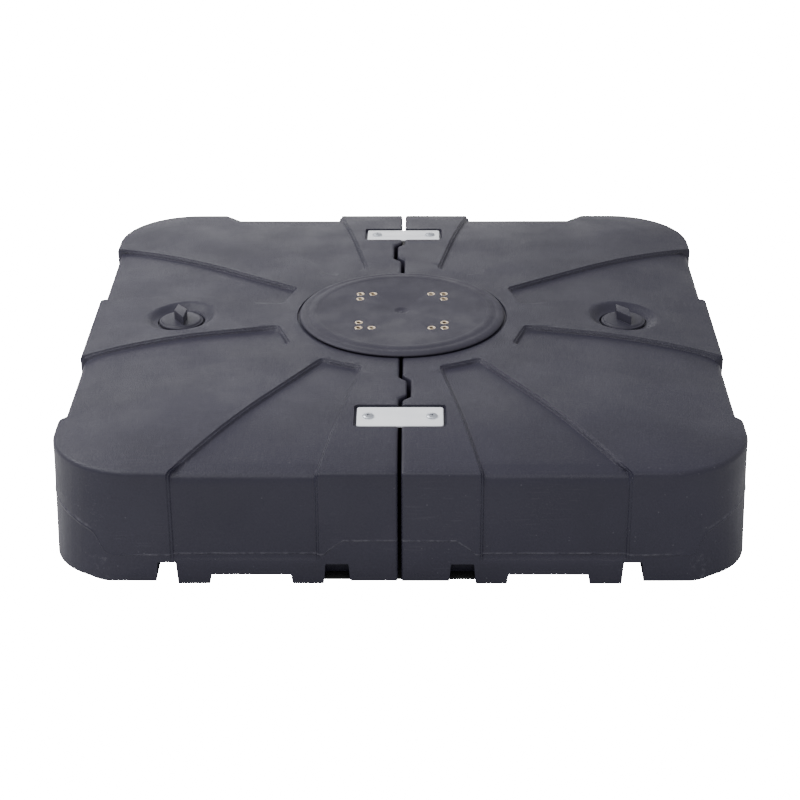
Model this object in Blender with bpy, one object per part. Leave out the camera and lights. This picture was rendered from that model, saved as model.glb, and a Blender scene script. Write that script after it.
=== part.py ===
"""Two-piece fillable parasol base: two identical blow-moulded tanks closed round a mounting hub.

Frame: +Z up, origin on the floor under the middle of the hub, X across the split, Y along it.
The left tank (x < 0) is modelled; the right tank is the same moulding turned half a turn about Z.
"""

import math

import bmesh
import bpy
from mathutils import Matrix, Vector

# Overall size of the closed base
WIDTH = 1.000
DEPTH = 1.000
PLATEAU_Z = 0.2005          # flat middle of the tank tops
CORNER_R = 0.130            # plan radius of the four outer corners, at the top
CORNER_FOOT_R = 0.105       # and at the floor

# Tank moulding
WALL = 0.0042
TOP_EDGE_R = 0.007
SHOULDER = 0.210            # how far in from the outline the crowned top starts to fall
CROWN_DROP = 0.022          # how far it has fallen at the outline
TAPER = 0.0020              # the walls lean in this much from top to floor
SIDE_FOOT_R = 0.020         # round along the foot of the two side walls
SKIRT_Z = 0.060             # below this height the walls follow the feet
EDGE_BAND = 0.03            # how far in from the outline a change of the walls fades out
FOOT_BAND = 0.09            # and the rounding of the side walls' foot
SPLIT_GAP = 0.005
SPLIT_CORNER_R = 0.008

# Sunk panels. Border points are given in one quadrant as (|x|, |y|) and mirrored.
PANEL_DEPTH = 0.0063
PANEL_SIDE_DEPTH = 0.0045
PANEL_WALL_RUN = 0.003
SIDE_PANEL = {
    "hub_end": ((0.1716, 0.1094), (0.1931, 0.0424)),
    "cap_side": ((0.1953, 0.0418), (0.4903, 0.1088)),
    "corner_side": ((0.4873, 0.3260), (0.1728, 0.1110)),
}
END_PANEL = {
    "hub_end": ((0.0582, 0.1932), (0.1212, 0.1642)),
    "split_side": ((0.1118, 0.4902), (0.0578, 0.1952)),
    "corner_side": ((0.1231, 0.1654), (0.3211, 0.4944)),
}

# Interlock across the split: a tongue at the front of each tank's split, a notch at its back
TONGUE_Y = 0.2685           # middle of the tongue, from the hub
TONGUE_LENGTH = 0.073       # along Y, at its root
TONGUE_REACH = 0.0095       # how far it passes the middle plane
TONGUE_CLEARANCE = 0.0055

# Feet, all as distances |x| from the middle plane
RAILS = ((0.108, 0.152), (0.270, 0.315))
RECESS_Z = 0.0147           # underside between the rails
CHANNEL = (0.315, 0.346)
CHANNEL_Z = 0.035
END_POCKET = (0.070, 0.108)
END_POCKET_Z = 0.032
END_POCKET_DEPTH = 0.030
BODY_FLOOR_Z = 0.0045
FOOT_WALL_RUN = 0.003

REST_GAP = 0.0003           # between touching pieces
OVERCUT = 0.008             # how far a cutter passes the surface that it opens

# Threaded inserts: three patterns that share corners, for different mast flanges
PATTERN_WIDE = 0.0675       # half of the 135 mm spacing
PATTERN_NARROW = 0.0470     # half of the 94 mm spacing
PATTERN_CORNER = ((PATTERN_WIDE, PATTERN_WIDE), (PATTERN_NARROW, PATTERN_WIDE),
                  (PATTERN_WIDE, PATTERN_NARROW))
INSERT_R = 0.0064
INSERT_BORE_R = 0.0034
INSERT_LENGTH = 0.016
INSERT_BLIND = 0.003        # room under an insert
INSERT_SINK = 0.0006        # an insert's face below the disc's highest ring

# Mounting hub: a disc on both tanks, over a square core that stands between them
DISC_R = 0.163
DISC_RISE = 0.0075          # highest ring of the disc over the tanks
DISC_TOP_Z = PLATEAU_Z + DISC_RISE
DISC_EDGE_Z = 0.0025        # height of the disc's upright edge
DISC_FOOT_CHAMFER = 0.001
DISC_CREST_R = 0.141        # highest ring, where the rounded rim begins
DISC_STEP_R = 0.131         # flat inside the ring
DISC_STEP = 0.0005          # depth of that flat
DIMPLE_R = 0.011
DIMPLE_DEPTH = 0.0035
CORE_HALF = 0.095
CORE_R = 0.025
CORE_CLEARANCE = 0.002
CORE_WALL = 0.007
CORE_SINK = 0.002           # how far the core runs up into the disc
HUB_SKIN = 0.007            # under an insert's hole
HUB_PLATE = INSERT_LENGTH + INSERT_BLIND + HUB_SKIN

# Steel ring that clamps both tanks under the disc
BOLT_XY = 0.066
BOLT_BOSS_R = 0.0135
BOLT_R = 0.0049             # M10
BOLT_CLEARANCE = 0.0006
BOLT_LENGTH = 0.030
BOLT_BLIND = 0.012          # room over a bolt's end
BOLT_HEAD_ACROSS = 0.016
BOLT_HEAD_HEIGHT = 0.0064
RETAINER_BUSH_LENGTH = 0.025
WASHER_R = 0.0105
WASHER_THICK = 0.002
RETAINER_R = 0.140
RETAINER_THICK = 0.004
RETAINER_CLEARANCE = 0.006
RETAINER_RECESS_R = RETAINER_R + RETAINER_CLEARANCE
RETAINER_RECESS_Z = 0.026
RETAINER_BORE_R = 0.045
RETAINER_HIGH = RETAINER_RECESS_Z - 2 * REST_GAP
RETAINER_LOW = RETAINER_HIGH - RETAINER_THICK
WASHER_LOW = RETAINER_LOW - REST_GAP - WASHER_THICK
BOLT_SEAT = WASHER_LOW - REST_GAP
HUB_FOOT = RETAINER_HIGH + REST_GAP
RETAINER_BUSH_LOW = HUB_FOOT + REST_GAP

# Tie plates across the split. They lie in pockets that follow the fall of the crowned top.
TIE_Y = 0.3565
TIE_FALL = 1 - (DEPTH / 2 - TIE_Y) / SHOULDER
TIE_TILT = math.atan(2 * CROWN_DROP / SHOULDER * TIE_FALL)
TIE_LENGTH = 0.125
TIE_WIDTH = 0.054
TIE_THICK = 0.003
TIE_CORNER_R = 0.0045
TIE_SCREW_X = 0.046
POCKET_CLEARANCE = 0.0035
POCKET_DEPTH = 0.0058
POCKET_R = 0.006
POCKET_Z = PLATEAU_Z - CROWN_DROP * TIE_FALL ** 2 - POCKET_DEPTH
SCREW_SHANK_R = 0.0039      # M8
SCREW_CLEARANCE = 0.0004
SCREW_HEAD_R = 0.0082
SCREW_HEAD_HEIGHT = 0.0034
SCREW_LENGTH = 0.017
CROSS_LENGTH = 0.0078
CROSS_WIDTH = 0.0014
CROSS_DEPTH = 0.0018
BUSH_R = 0.0060
BUSH_LENGTH = 0.015
BUSH_BOSS_R = 0.0105

# Filler opening, from the thread outwards
THREAD_PITCH = 0.006
THREAD_TURNS = 1.75
THREAD_HEIGHT = 0.0018      # of the neck's thread, over the neck's wall
THREAD_CLEARANCE = 0.0014   # between the neck's thread and the stem
THREAD_REACH = 0.0009       # how near the stem's thread comes to the neck's wall
THREAD_LEAD = 0.0025        # plain end of the stem under its thread
RIDGE_ROOT = 0.0026
RIDGE_CREST = 0.0014
RIDGE_SINK = 0.001          # how far a thread's root is sunk in its wall
CAP_X = 0.353
NECK_R = 0.0292
NECK_LENGTH = 0.024
NECK_THREAD_R = NECK_R - THREAD_HEIGHT
STEM_R = NECK_THREAD_R - THREAD_CLEARANCE
STEM_THREAD_R = NECK_R - THREAD_REACH
STEM_WALL = 0.0035
STEM_LENGTH = 0.020
SEAL_THICK = 0.0019
SEAL_SETBACK = 0.0008       # of the seal from the neck's bore
SEAL_WIDTH = 0.0045
SEAL_IN_R = NECK_R + SEAL_SETBACK
SEAL_OUT_R = SEAL_IN_R + SEAL_WIDTH
CAP_LAP = 0.001             # of the cap over its seal
CAP_R = SEAL_OUT_R + CAP_LAP
CAP_CLEARANCE = 0.0015
SEAT_R = CAP_R + CAP_CLEARANCE
DISH_FLOOR_WIDTH = 0.002
DISH_WALL_RUN = 0.017
DISH_FLOOR_R = SEAT_R + DISH_FLOOR_WIDTH
DISH_R = DISH_FLOOR_R + DISH_WALL_RUN
DISH_DEPTH = 0.010
SEAT_DEPTH = 0.0165
CAP_TOP_DEPTH = 0.008       # cap face below the plateau
CAP_CHAMFER = 0.002
CAP_DOME = 0.001
SEAT_Z = PLATEAU_Z - SEAT_DEPTH
CAP_FACE_Z = PLATEAU_Z - CAP_TOP_DEPTH
SEAL_Z = SEAT_Z + REST_GAP
FLANGE_Z = SEAL_Z + SEAL_THICK + REST_GAP
STEM_Z = FLANGE_Z - STEM_LENGTH
NECK_Z = SEAT_Z - NECK_LENGTH
STEM_THREAD_Z = STEM_Z + THREAD_LEAD
NECK_THREAD_Z = STEM_THREAD_Z - THREAD_PITCH / 2

# Finger grip on a cap: a skewed bar
GRIP_LENGTH = 0.054          # from tip to tip
GRIP_WIDTH = 0.021
GRIP_WIDEST = -0.003         # where it is widest, from its middle
GRIP_HEIGHT = 0.015
LEFT_GRIP_TURN = math.radians(-76)
RIGHT_GRIP_TURN = math.radians(-68)

# How finely round shapes are faceted
ROUND_STEPS = 40
FILLER_STEPS = 28
SMALL_STEPS = 12
THREAD_STEPS = 18           # per turn
RIM_STEPS = 3               # round the disc's rim
SHOULDER_SHARES = (0.17, 0.45, 1)
SHARP = math.radians(35)
FLAT_ANGLE = math.radians(1.2)
NO_LENGTH = 2e-5            # an edge shorter than this is closed up


# ---------------------------------------------------------------- general tools

def clear_scene():
    for obj in list(bpy.data.objects):
        bpy.data.objects.remove(obj)


def make_material(name, colour, roughness, metallic):
    material = bpy.data.materials.new(name)
    material.use_nodes = True
    shader = material.node_tree.nodes["Principled BSDF"]
    shader.inputs["Base Color"].default_value = (*colour, 1)
    shader.inputs["Roughness"].default_value = roughness
    shader.inputs["Metallic"].default_value = metallic
    return material


def make_object(name, bm, material=None):
    """A mesh object from a bmesh, shaded smooth apart from its real edges."""
    bmesh.ops.recalc_face_normals(bm, faces=bm.faces[:])
    mesh = bpy.data.meshes.new(name)
    bm.to_mesh(mesh)
    bm.free()
    obj = bpy.data.objects.new(name, mesh)
    bpy.context.scene.collection.objects.link(obj)
    if material:
        mesh.materials.append(material)
    mesh.shade_smooth()
    mesh.set_sharp_from_angle(angle=SHARP)
    return obj


def triangulate(bm):
    """Triangles only, none of them without area."""
    bmesh.ops.triangulate(bm, faces=bm.faces[:])
    bmesh.ops.dissolve_degenerate(bm, dist=NO_LENGTH, edges=bm.edges[:])
    bmesh.ops.triangulate(bm, faces=bm.faces[:])


def combine(obj, shape, operation):
    """Cuts a bmesh from an object or joins it on, and applies the result."""
    helper = make_object("helper", shape)
    modifier = obj.modifiers.new("combine", "BOOLEAN")
    modifier.operation = operation
    modifier.solver = "EXACT"
    modifier.object = helper
    bpy.context.view_layer.update()
    graph = bpy.context.evaluated_depsgraph_get()
    mesh = bpy.data.meshes.new_from_object(obj.evaluated_get(graph))
    obj.modifiers.clear()
    bpy.data.objects.remove(helper)
    bm = bmesh.new()
    bm.from_mesh(mesh)
    triangulate(bm)
    bm.to_mesh(mesh)
    bm.free()
    obj.data = mesh
    mesh.set_sharp_from_angle(angle=SHARP)


def cut_from(obj, shape):
    combine(obj, shape, "DIFFERENCE")


def join_to(obj, shape):
    combine(obj, shape, "UNION")


def add_prism(bm, points, low, high):
    """An upright prism over a plan outline."""
    face = bm.faces.new([bm.verts.new((x, y, low)) for x, y in points])
    raised = bmesh.ops.extrude_face_region(bm, geom=[face])["geom"]
    moved = [v for v in raised if isinstance(v, bmesh.types.BMVert)]
    bmesh.ops.translate(bm, verts=moved, vec=(0, 0, high - low))


def turned(profile, centre=(0, 0, 0), steps=ROUND_STEPS):
    """A solid of revolution about an upright axis from (radius, z) points, closed on the axis or itself."""
    bm = bmesh.new()
    points = [bm.verts.new((r, 0, z)) for r, z in profile]
    edges = [bm.edges.new(pair) for pair in zip(points, points[1:])]
    if profile[0][0] > 0:
        edges.append(bm.edges.new((points[-1], points[0])))
    bmesh.ops.spin(bm, geom=points + edges, axis=(0, 0, 1), cent=(0, 0, 0),
                   angle=2 * math.pi, steps=steps, use_merge=True)
    bmesh.ops.remove_doubles(bm, verts=bm.verts[:], dist=1e-6)
    bmesh.ops.translate(bm, verts=bm.verts[:], vec=centre)
    return bm


def together(shapes):
    """One bmesh that holds all the given ones."""
    whole = bmesh.new()
    for shape in shapes:
        mesh = bpy.data.meshes.new("shape")
        shape.to_mesh(mesh)
        shape.free()
        whole.from_mesh(mesh)
        bpy.data.meshes.remove(mesh)
    return whole


def rod(radius, low, high):
    return [(0, low), (radius, low), (radius, high), (0, high)]


def tube(outer, inner, low, high):
    return [(inner, low), (outer, low), (outer, high), (inner, high)]


def arc(centre, radius, start, end, steps):
    return [(centre[0] + radius * math.cos(start + (end - start) * i / steps),
             centre[1] + radius * math.sin(start + (end - start) * i / steps))
            for i in range(steps + 1)]


def rounded_rectangle(half_x, half_y, radius, steps=4):
    points = []
    for quarter, (sx, sy) in enumerate(((1, 1), (-1, 1), (-1, -1), (1, -1))):
        centre = (sx * (half_x - radius), sy * (half_y - radius))
        start = quarter * math.pi / 2
        points += arc(centre, radius, start, start + math.pi / 2, steps)
    return points


def ridge(root_r, crest_r, low, phase):
    """A right-handed helical thread ridge as one closed strip, standing from root_r to crest_r."""
    bm = bmesh.new()
    section = ((root_r, -RIDGE_ROOT / 2), (crest_r, -RIDGE_CREST / 2), (crest_r, RIDGE_CREST / 2),
               (root_r, RIDGE_ROOT / 2))
    rings = []
    for i in range(round(THREAD_TURNS * THREAD_STEPS) + 1):
        turn = i / THREAD_STEPS
        angle = phase + 2 * math.pi * turn
        height = low + THREAD_PITCH * turn
        rings.append([bm.verts.new((r * math.cos(angle), r * math.sin(angle), height + rise))
                      for r, rise in section])
    for near, far in zip(rings, rings[1:]):
        for k in range(4):
            bm.faces.new((near[k], near[(k + 1) % 4], far[(k + 1) % 4], far[k]))
    bm.faces.new(rings[0])
    bm.faces.new(rings[-1])
    return bm


# ---------------------------------------------------------------- tank shape

def outline_distance(x, y):
    """Distance in from the rounded square outline, and the outward direction there."""
    qx = abs(x) - (WIDTH / 2 - CORNER_R)
    qy = abs(y) - (DEPTH / 2 - CORNER_R)
    sx = math.copysign(1, x)
    sy = math.copysign(1, y)
    if qx > 0 and qy > 0:
        length = math.hypot(qx, qy)
        return CORNER_R - length, Vector((sx * qx / length, sy * qy / length, 0))
    if qx > qy:
        return CORNER_R - qx, Vector((sx, 0, 0))
    return CORNER_R - qy, Vector((0, sy, 0))


def smooth(t):
    t = min(1.0, max(0.0, t))
    return t * t * (3 - 2 * t)


def ramp(t):
    return min(1.0, max(0.0, t))


def inside(border, x, y):
    """How far (x, y) lies inside a panel border, whose inner side is on the left of its direction."""
    (ax, ay), (bx, by) = border
    length = math.hypot(bx - ax, by - ay)
    return ((bx - ax) * (y - ay) - (by - ay) * (x - ax)) / length


def panel_share(x, y, skin):
    """0 on the raised ribs, 1 on the floor of a sunk panel."""
    x, y = abs(x), abs(y)
    deepest = max(min(inside(border, x, y) for border in panel.values())
                  for panel in (SIDE_PANEL, END_PANEL))
    return ramp((deepest + skin) / PANEL_WALL_RUN)


def strip_share(value, low, high):
    """1 between low and high, with steep walls inside them."""
    return ramp(min(value - low, high - value) / FOOT_WALL_RUN)


def floor_height(x, y, skin):
    """Height of the tank's underside over the floor, or of the cavity's floor where skin is the wall."""
    x, y = abs(x), abs(y)
    spread = FOOT_WALL_RUN - skin
    on_rail = max(strip_share(x, low - spread, high + spread) for low, high in RAILS)
    height = RECESS_Z if RAILS[0][1] - skin <= x <= RAILS[1][0] + skin else BODY_FLOOR_Z
    height *= 1 - on_rail
    height += (CHANNEL_Z - height) * strip_share(x, CHANNEL[0] - skin, CHANNEL[1] + skin)
    pocket = strip_share(x, END_POCKET[0] - skin, END_POCKET[1] + skin)
    pocket *= ramp((y - (DEPTH / 2 - END_POCKET_DEPTH - skin)) / FOOT_WALL_RUN)
    return height + (END_POCKET_Z - height) * pocket + skin


def side_foot_inset(z):
    rise = SIDE_FOOT_R - min(z, SIDE_FOOT_R)
    return SIDE_FOOT_R - math.sqrt(SIDE_FOOT_R ** 2 - rise ** 2)


def tank_point(point, skin):
    """Where a point of the plain prism lies on the moulding: crowned, panelled, tapered and with its feet."""
    x, y, z = point
    distance, outward = outline_distance(x, y)
    upper = smooth((z - SKIRT_Z) / (PLATEAU_Z - SKIRT_Z - TOP_EDGE_R))
    share = panel_share(x, y, skin)
    near_edge = 1 - ramp(distance / EDGE_BAND)
    near_foot = 1 - ramp(distance / FOOT_BAND)
    on_side = smooth((abs(outward.x) - 0.1) / 0.8)
    inset = share * PANEL_SIDE_DEPTH * near_edge
    lean = ramp(1 - z / (PLATEAU_Z - TOP_EDGE_R)) * near_edge
    flare = (CORNER_R - CORNER_FOOT_R) * (abs(outward.x) + abs(outward.y) - 1)
    inset += (TAPER - flare) * lean
    inset += side_foot_inset(z) * on_side * near_foot
    drop = CROWN_DROP * ramp(1 - distance / SHOULDER) ** 2
    height = z - (drop + PANEL_DEPTH * share + skin) * upper
    if z < SKIRT_Z:
        lifted = floor_height(x, y, skin)
        height = lifted + z * (SKIRT_Z - lifted) / SKIRT_Z
    return Vector((x, y, height)) - outward * inset


def tank_outline(skin):
    """Plan outline of the left tank, or of its cavity where skin is the wall, anticlockwise."""
    split_x = -SPLIT_GAP / 2 - skin
    half_y = DEPTH / 2
    hub = CORE_HALF + CORE_CLEARANCE + skin
    hub_r = CORE_R + CORE_CLEARANCE + skin
    # The ends of the tongue and the notch slope at 45 degrees, which the wall shifts along the split.
    slope_shift = skin * math.tan(math.pi / 8)
    tongue_x = TONGUE_REACH - skin
    tongue_foot = TONGUE_LENGTH / 2 - slope_shift
    tongue_tip = tongue_foot - (tongue_x - split_x)
    notch_x = -TONGUE_REACH - TONGUE_CLEARANCE - skin
    notch_mouth = TONGUE_LENGTH / 2 + TONGUE_CLEARANCE + slope_shift
    notch_root = notch_mouth - (split_x - notch_x)
    quarter = math.pi / 2
    round_x = -SPLIT_GAP / 2 - SPLIT_CORNER_R
    round_y = half_y - SPLIT_CORNER_R
    round_r = SPLIT_CORNER_R - skin
    points = arc((round_x, -round_y), round_r, -quarter, 0, 3)
    points += [(split_x, -TONGUE_Y - tongue_foot), (tongue_x, -TONGUE_Y - tongue_tip),
               (tongue_x, -TONGUE_Y + tongue_tip), (split_x, -TONGUE_Y + tongue_foot), (split_x, -hub)]
    points += reversed(arc((hub_r - hub, hub_r - hub), hub_r, -2 * quarter, -quarter, 3))
    points += reversed(arc((hub_r - hub, hub - hub_r), hub_r, quarter, 2 * quarter, 3))
    points += [(split_x, hub), (split_x, TONGUE_Y - notch_mouth), (notch_x, TONGUE_Y - notch_root),
               (notch_x, TONGUE_Y + notch_root), (split_x, TONGUE_Y + notch_mouth)]
    points += arc((round_x, round_y), round_r, 0, quarter, 3)
    corner = (WIDTH / 2 - CORNER_R, half_y - CORNER_R)
    points += arc((-corner[0], corner[1]), CORNER_R - skin, quarter, 2 * quarter, 5)
    points += arc((-corner[0], -corner[1]), CORNER_R - skin, 2 * quarter, 3 * quarter, 5)
    return points


def cut(bm, point, normal):
    bmesh.ops.bisect_plane(bm, geom=bm.verts[:] + bm.edges[:] + bm.faces[:], dist=1e-6,
                           plane_co=point, plane_no=normal)


def cut_borders(bm, skin):
    """Edge lines along the foot and the brow of each panel wall."""
    for panel in (SIDE_PANEL, END_PANEL):
        for (ax, ay), (bx, by) in panel.values():
            length = math.hypot(bx - ax, by - ay)
            normal_x, normal_y = -(by - ay) / length, (bx - ax) / length
            for run in (-skin, PANEL_WALL_RUN - skin):
                for side in (1, -1):
                    cut(bm, (-(ax + normal_x * run), side * (ay + normal_y * run), 0),
                        (-normal_x, side * normal_y, 0))


def cut_shoulders(bm):
    for share in SHOULDER_SHARES:
        inset = share * SHOULDER
        cut(bm, (-WIDTH / 2 + inset, 0, 0), (1, 0, 0))
        for side in (1, -1):
            cut(bm, (0, side * (DEPTH / 2 - inset), 0), (0, 1, 0))


def cut_feet(bm, skin):
    """Edge lines along the top and bottom of each wall of the feet."""
    walls = [(RAILS[0][0] - FOOT_WALL_RUN + skin, 1), (RAILS[0][1] + FOOT_WALL_RUN - skin, -1),
             (RAILS[1][0] - FOOT_WALL_RUN + skin, 1), (CHANNEL[0] - skin, 1), (CHANNEL[1] + skin, -1),
             (END_POCKET[0] - skin, 1), (END_POCKET[1] + skin, -1)]
    for wall, way in walls:
        for run in (0, way * FOOT_WALL_RUN):
            cut(bm, (-wall - run, 0, 0), (1, 0, 0))
    for side in (1, -1):
        for run in (0, FOOT_WALL_RUN):
            cut(bm, (0, side * (DEPTH / 2 - END_POCKET_DEPTH - skin + run), 0), (0, 1, 0))


def tank_skin(skin):
    """The left tank's closed outer surface, or its cavity's where skin is the wall."""
    bm = bmesh.new()
    add_prism(bm, tank_outline(skin), 0, PLATEAU_Z)
    rim = [e for e in bm.edges if all(abs(v.co.z - PLATEAU_Z) < 1e-6 for v in e.verts)]
    bmesh.ops.bevel(bm, geom=rim, offset=TOP_EDGE_R - skin, offset_type="OFFSET", segments=2, profile=0.5,
                    affect="EDGES", material=-1)
    for level in (SIDE_FOOT_R / 5, SIDE_FOOT_R / 2, SIDE_FOOT_R, SKIRT_Z):
        cut(bm, (0, 0, level), (0, 0, 1))
    cut_borders(bm, skin)
    cut_shoulders(bm)
    cut_feet(bm, skin)
    for vert in bm.verts:
        vert.co = tank_point(vert.co, skin)
    bmesh.ops.remove_doubles(bm, verts=bm.verts[:], dist=NO_LENGTH)
    bmesh.ops.dissolve_limit(bm, verts=bm.verts[:], edges=bm.edges[:], angle_limit=FLAT_ANGLE)
    triangulate(bm)
    return bm


def filler_profile(skin):
    """Dish, seal seat and neck of the filler opening, from its bottom; skin adds the wall round them."""
    top = PLATEAU_Z
    bottom, above = NECK_Z - OVERCUT, OVERCUT
    if skin:
        bottom, above = NECK_Z, -skin / 4
    slope = (DISH_R - DISH_FLOOR_R) / DISH_DEPTH
    return [(0, bottom), (NECK_R + skin, bottom), (NECK_R + skin, SEAT_Z - skin),
            (SEAT_R + skin, SEAT_Z - skin), (SEAT_R + skin, top - DISH_DEPTH - skin),
            (DISH_FLOOR_R + skin, top - DISH_DEPTH - skin),
            (DISH_R + skin + slope * above, top + above), (0, top + above)]


def tie_frame(side, x=0):
    """The frame of a tie's pocket, with its floor at zero height: side is 1 at the rear, -1 at the front."""
    return (Matrix.Translation((0, side * TIE_Y, POCKET_Z)) @ Matrix.Rotation(-side * TIE_TILT, 4, "X")
            @ Matrix.Translation((x, 0, 0)))


def tie_pocket(side, skin):
    half_x = TIE_LENGTH / 2 + POCKET_CLEARANCE + skin
    half_y = TIE_WIDTH / 2 + POCKET_CLEARANCE + skin
    bm = bmesh.new()
    add_prism(bm, rounded_rectangle(half_x, half_y, POCKET_R + skin, 3), -skin, POCKET_DEPTH + OVERCUT)
    bmesh.ops.transform(bm, matrix=tie_frame(side), verts=bm.verts[:])
    return bm


def at_ties(profile):
    """A turned shape at the left tank's two tie screws."""
    shapes = [turned(profile, steps=SMALL_STEPS) for _ in range(2)]
    for shape, side in zip(shapes, (1, -1)):
        bmesh.ops.transform(shape, matrix=tie_frame(side, -TIE_SCREW_X), verts=shape.verts[:])
    return together(shapes)


def make_tank(material):
    """The left tank: outer surface, less a cavity that leaves walls round the neck and the screw bosses."""
    filler_place = (-CAP_X, 0, 0)

    cavity = make_object("cavity", tank_skin(WALL))
    cut_from(cavity, turned(filler_profile(WALL), filler_place, FILLER_STEPS))
    cut_from(cavity, turned(rod(RETAINER_RECESS_R + WALL, -OVERCUT, RETAINER_RECESS_Z + WALL)))
    cut_from(cavity, together(tie_pocket(side, WALL) for side in (1, -1)))
    cut_from(cavity, at_ties(rod(BUSH_BOSS_R, -BUSH_LENGTH - 2 * WALL, 0)))
    hollow = bmesh.new()
    hollow.from_mesh(cavity.data)
    bpy.data.objects.remove(cavity)

    tank = make_object("left_tank", tank_skin(0), material)
    cut_from(tank, hollow)
    cut_from(tank, turned(filler_profile(0), filler_place, FILLER_STEPS))
    cut_from(tank, turned(rod(RETAINER_RECESS_R, -OVERCUT, RETAINER_RECESS_Z)))
    cut_from(tank, together(tie_pocket(side, 0) for side in (1, -1)))
    cut_from(tank, at_ties(rod(BUSH_R + REST_GAP, -BUSH_LENGTH - WALL, OVERCUT)))
    thread = ridge(NECK_R + RIDGE_SINK, NECK_THREAD_R, NECK_THREAD_Z, 0)
    bmesh.ops.translate(thread, verts=thread.verts[:], vec=filler_place)
    join_to(tank, thread)
    return tank


def make_tanks(material):
    left = make_tank(material)
    right = bpy.data.objects.new("right_tank", left.data)
    bpy.context.scene.collection.objects.link(right)
    right.rotation_euler.z = math.pi


# ---------------------------------------------------------------- hub and its clamp

def insert_places():
    """Plan positions of the twelve inserts: three in each corner."""
    for sx in (-1, 1):
        for sy in (-1, 1):
            for x, y in PATTERN_CORNER:
                yield sx * x, sy * y


def bolt_places():
    return [(sx * BOLT_XY, sy * BOLT_XY) for sx in (-1, 1) for sy in (-1, 1)]


def disc_profile():
    """The disc from its underside, out round its rounded rim and in to the dimple in its middle."""
    base = PLATEAU_Z + REST_GAP
    edge = base + DISC_EDGE_Z
    flat = DISC_TOP_Z - DISC_STEP
    points = [(0, base), (DISC_R - DISC_FOOT_CHAMFER, base), (DISC_R, base + DISC_FOOT_CHAMFER)]
    for i in range(RIM_STEPS + 1):
        angle = math.pi / 2 * i / RIM_STEPS
        points.append((DISC_CREST_R + (DISC_R - DISC_CREST_R) * math.cos(angle),
                       edge + (DISC_TOP_Z - edge) * math.sin(angle)))
    points += [(DISC_STEP_R, flat), (DIMPLE_R, flat), (DIMPLE_R / 2, flat - 0.8 * DIMPLE_DEPTH),
               (0, flat - DIMPLE_DEPTH)]
    return points


def make_hub(material):
    hub = make_object("mount_hub", turned(disc_profile()), material)
    core = bmesh.new()
    core_outline = rounded_rectangle(CORE_HALF, CORE_HALF, CORE_R)
    add_prism(core, core_outline, HUB_FOOT, PLATEAU_Z + REST_GAP + CORE_SINK)
    join_to(hub, core)
    hollow = bmesh.new()
    inner = CORE_HALF - CORE_WALL
    add_prism(hollow, rounded_rectangle(inner, inner, CORE_R - CORE_WALL), HUB_FOOT - OVERCUT,
              DISC_TOP_Z - HUB_PLATE)
    cut_from(hub, hollow)
    boss = rod(BOLT_BOSS_R, HUB_FOOT, DISC_TOP_Z - HUB_PLATE / 2)
    bush_hole = rod(BUSH_R + REST_GAP, HUB_FOOT - OVERCUT, BOLT_SEAT + BOLT_LENGTH + BOLT_BLIND)
    insert_hole = rod(INSERT_R + REST_GAP, DISC_TOP_Z - INSERT_LENGTH - INSERT_BLIND, DISC_TOP_Z + OVERCUT)
    bosses = together(turned(boss, (x, y, 0), SMALL_STEPS) for x, y in bolt_places())
    holes = [turned(bush_hole, (x, y, 0), SMALL_STEPS) for x, y in bolt_places()]
    holes += [turned(insert_hole, (x, y, 0), SMALL_STEPS) for x, y in insert_places()]
    join_to(hub, bosses)
    cut_from(hub, together(holes))


def make_inserts(material):
    top = DISC_TOP_Z - INSERT_SINK
    ring = tube(INSERT_R, INSERT_BORE_R, top - INSERT_LENGTH, top)
    for number, (x, y) in enumerate(insert_places(), 1):
        insert = make_object(f"flange_insert_{number:02d}", turned(ring, steps=SMALL_STEPS), material)
        insert.location = (x, y, 0)


def make_retainer(steel, brass):
    """The steel ring that bolts up under both tanks, with its bolts, washers and the hub's bushes."""
    ring = tube(RETAINER_R, RETAINER_BORE_R, RETAINER_LOW, RETAINER_HIGH)
    plate = make_object("hub_retainer_plate", turned(ring), steel)
    hole = rod(BOLT_R + BOLT_CLEARANCE, RETAINER_LOW - OVERCUT, RETAINER_HIGH + OVERCUT)
    cut_from(plate, together(turned(hole, (x, y, 0), SMALL_STEPS) for x, y in bolt_places()))
    bush_ring = tube(BUSH_R, BOLT_R + REST_GAP, RETAINER_BUSH_LOW, RETAINER_BUSH_LOW + RETAINER_BUSH_LENGTH)
    washer_ring = tube(WASHER_R, BOLT_R + BOLT_CLEARANCE, WASHER_LOW, WASHER_LOW + WASHER_THICK)
    shank = rod(BOLT_R, BOLT_SEAT - BOLT_HEAD_HEIGHT / 2, BOLT_SEAT + BOLT_LENGTH)
    for number, (x, y) in enumerate(bolt_places(), 1):
        bush = make_object(f"retainer_bush_{number}", turned(bush_ring, steps=SMALL_STEPS), brass)
        washer = make_object(f"retainer_washer_{number}", turned(washer_ring, steps=SMALL_STEPS), steel)
        bolt = make_object(f"retainer_bolt_{number}", hexagon(BOLT_SEAT - BOLT_HEAD_HEIGHT, BOLT_SEAT), steel)
        join_to(bolt, turned(shank, steps=SMALL_STEPS))
        for piece in (bush, washer, bolt):
            piece.location = (x, y, 0)


def hexagon(low, high):
    bm = bmesh.new()
    corner_r = BOLT_HEAD_ACROSS / 2 / math.cos(math.pi / 6)
    add_prism(bm, arc((0, 0), corner_r, 0, 2 * math.pi * 5 / 6, 5), low, high)
    return bm


# ---------------------------------------------------------------- tie plates

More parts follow.
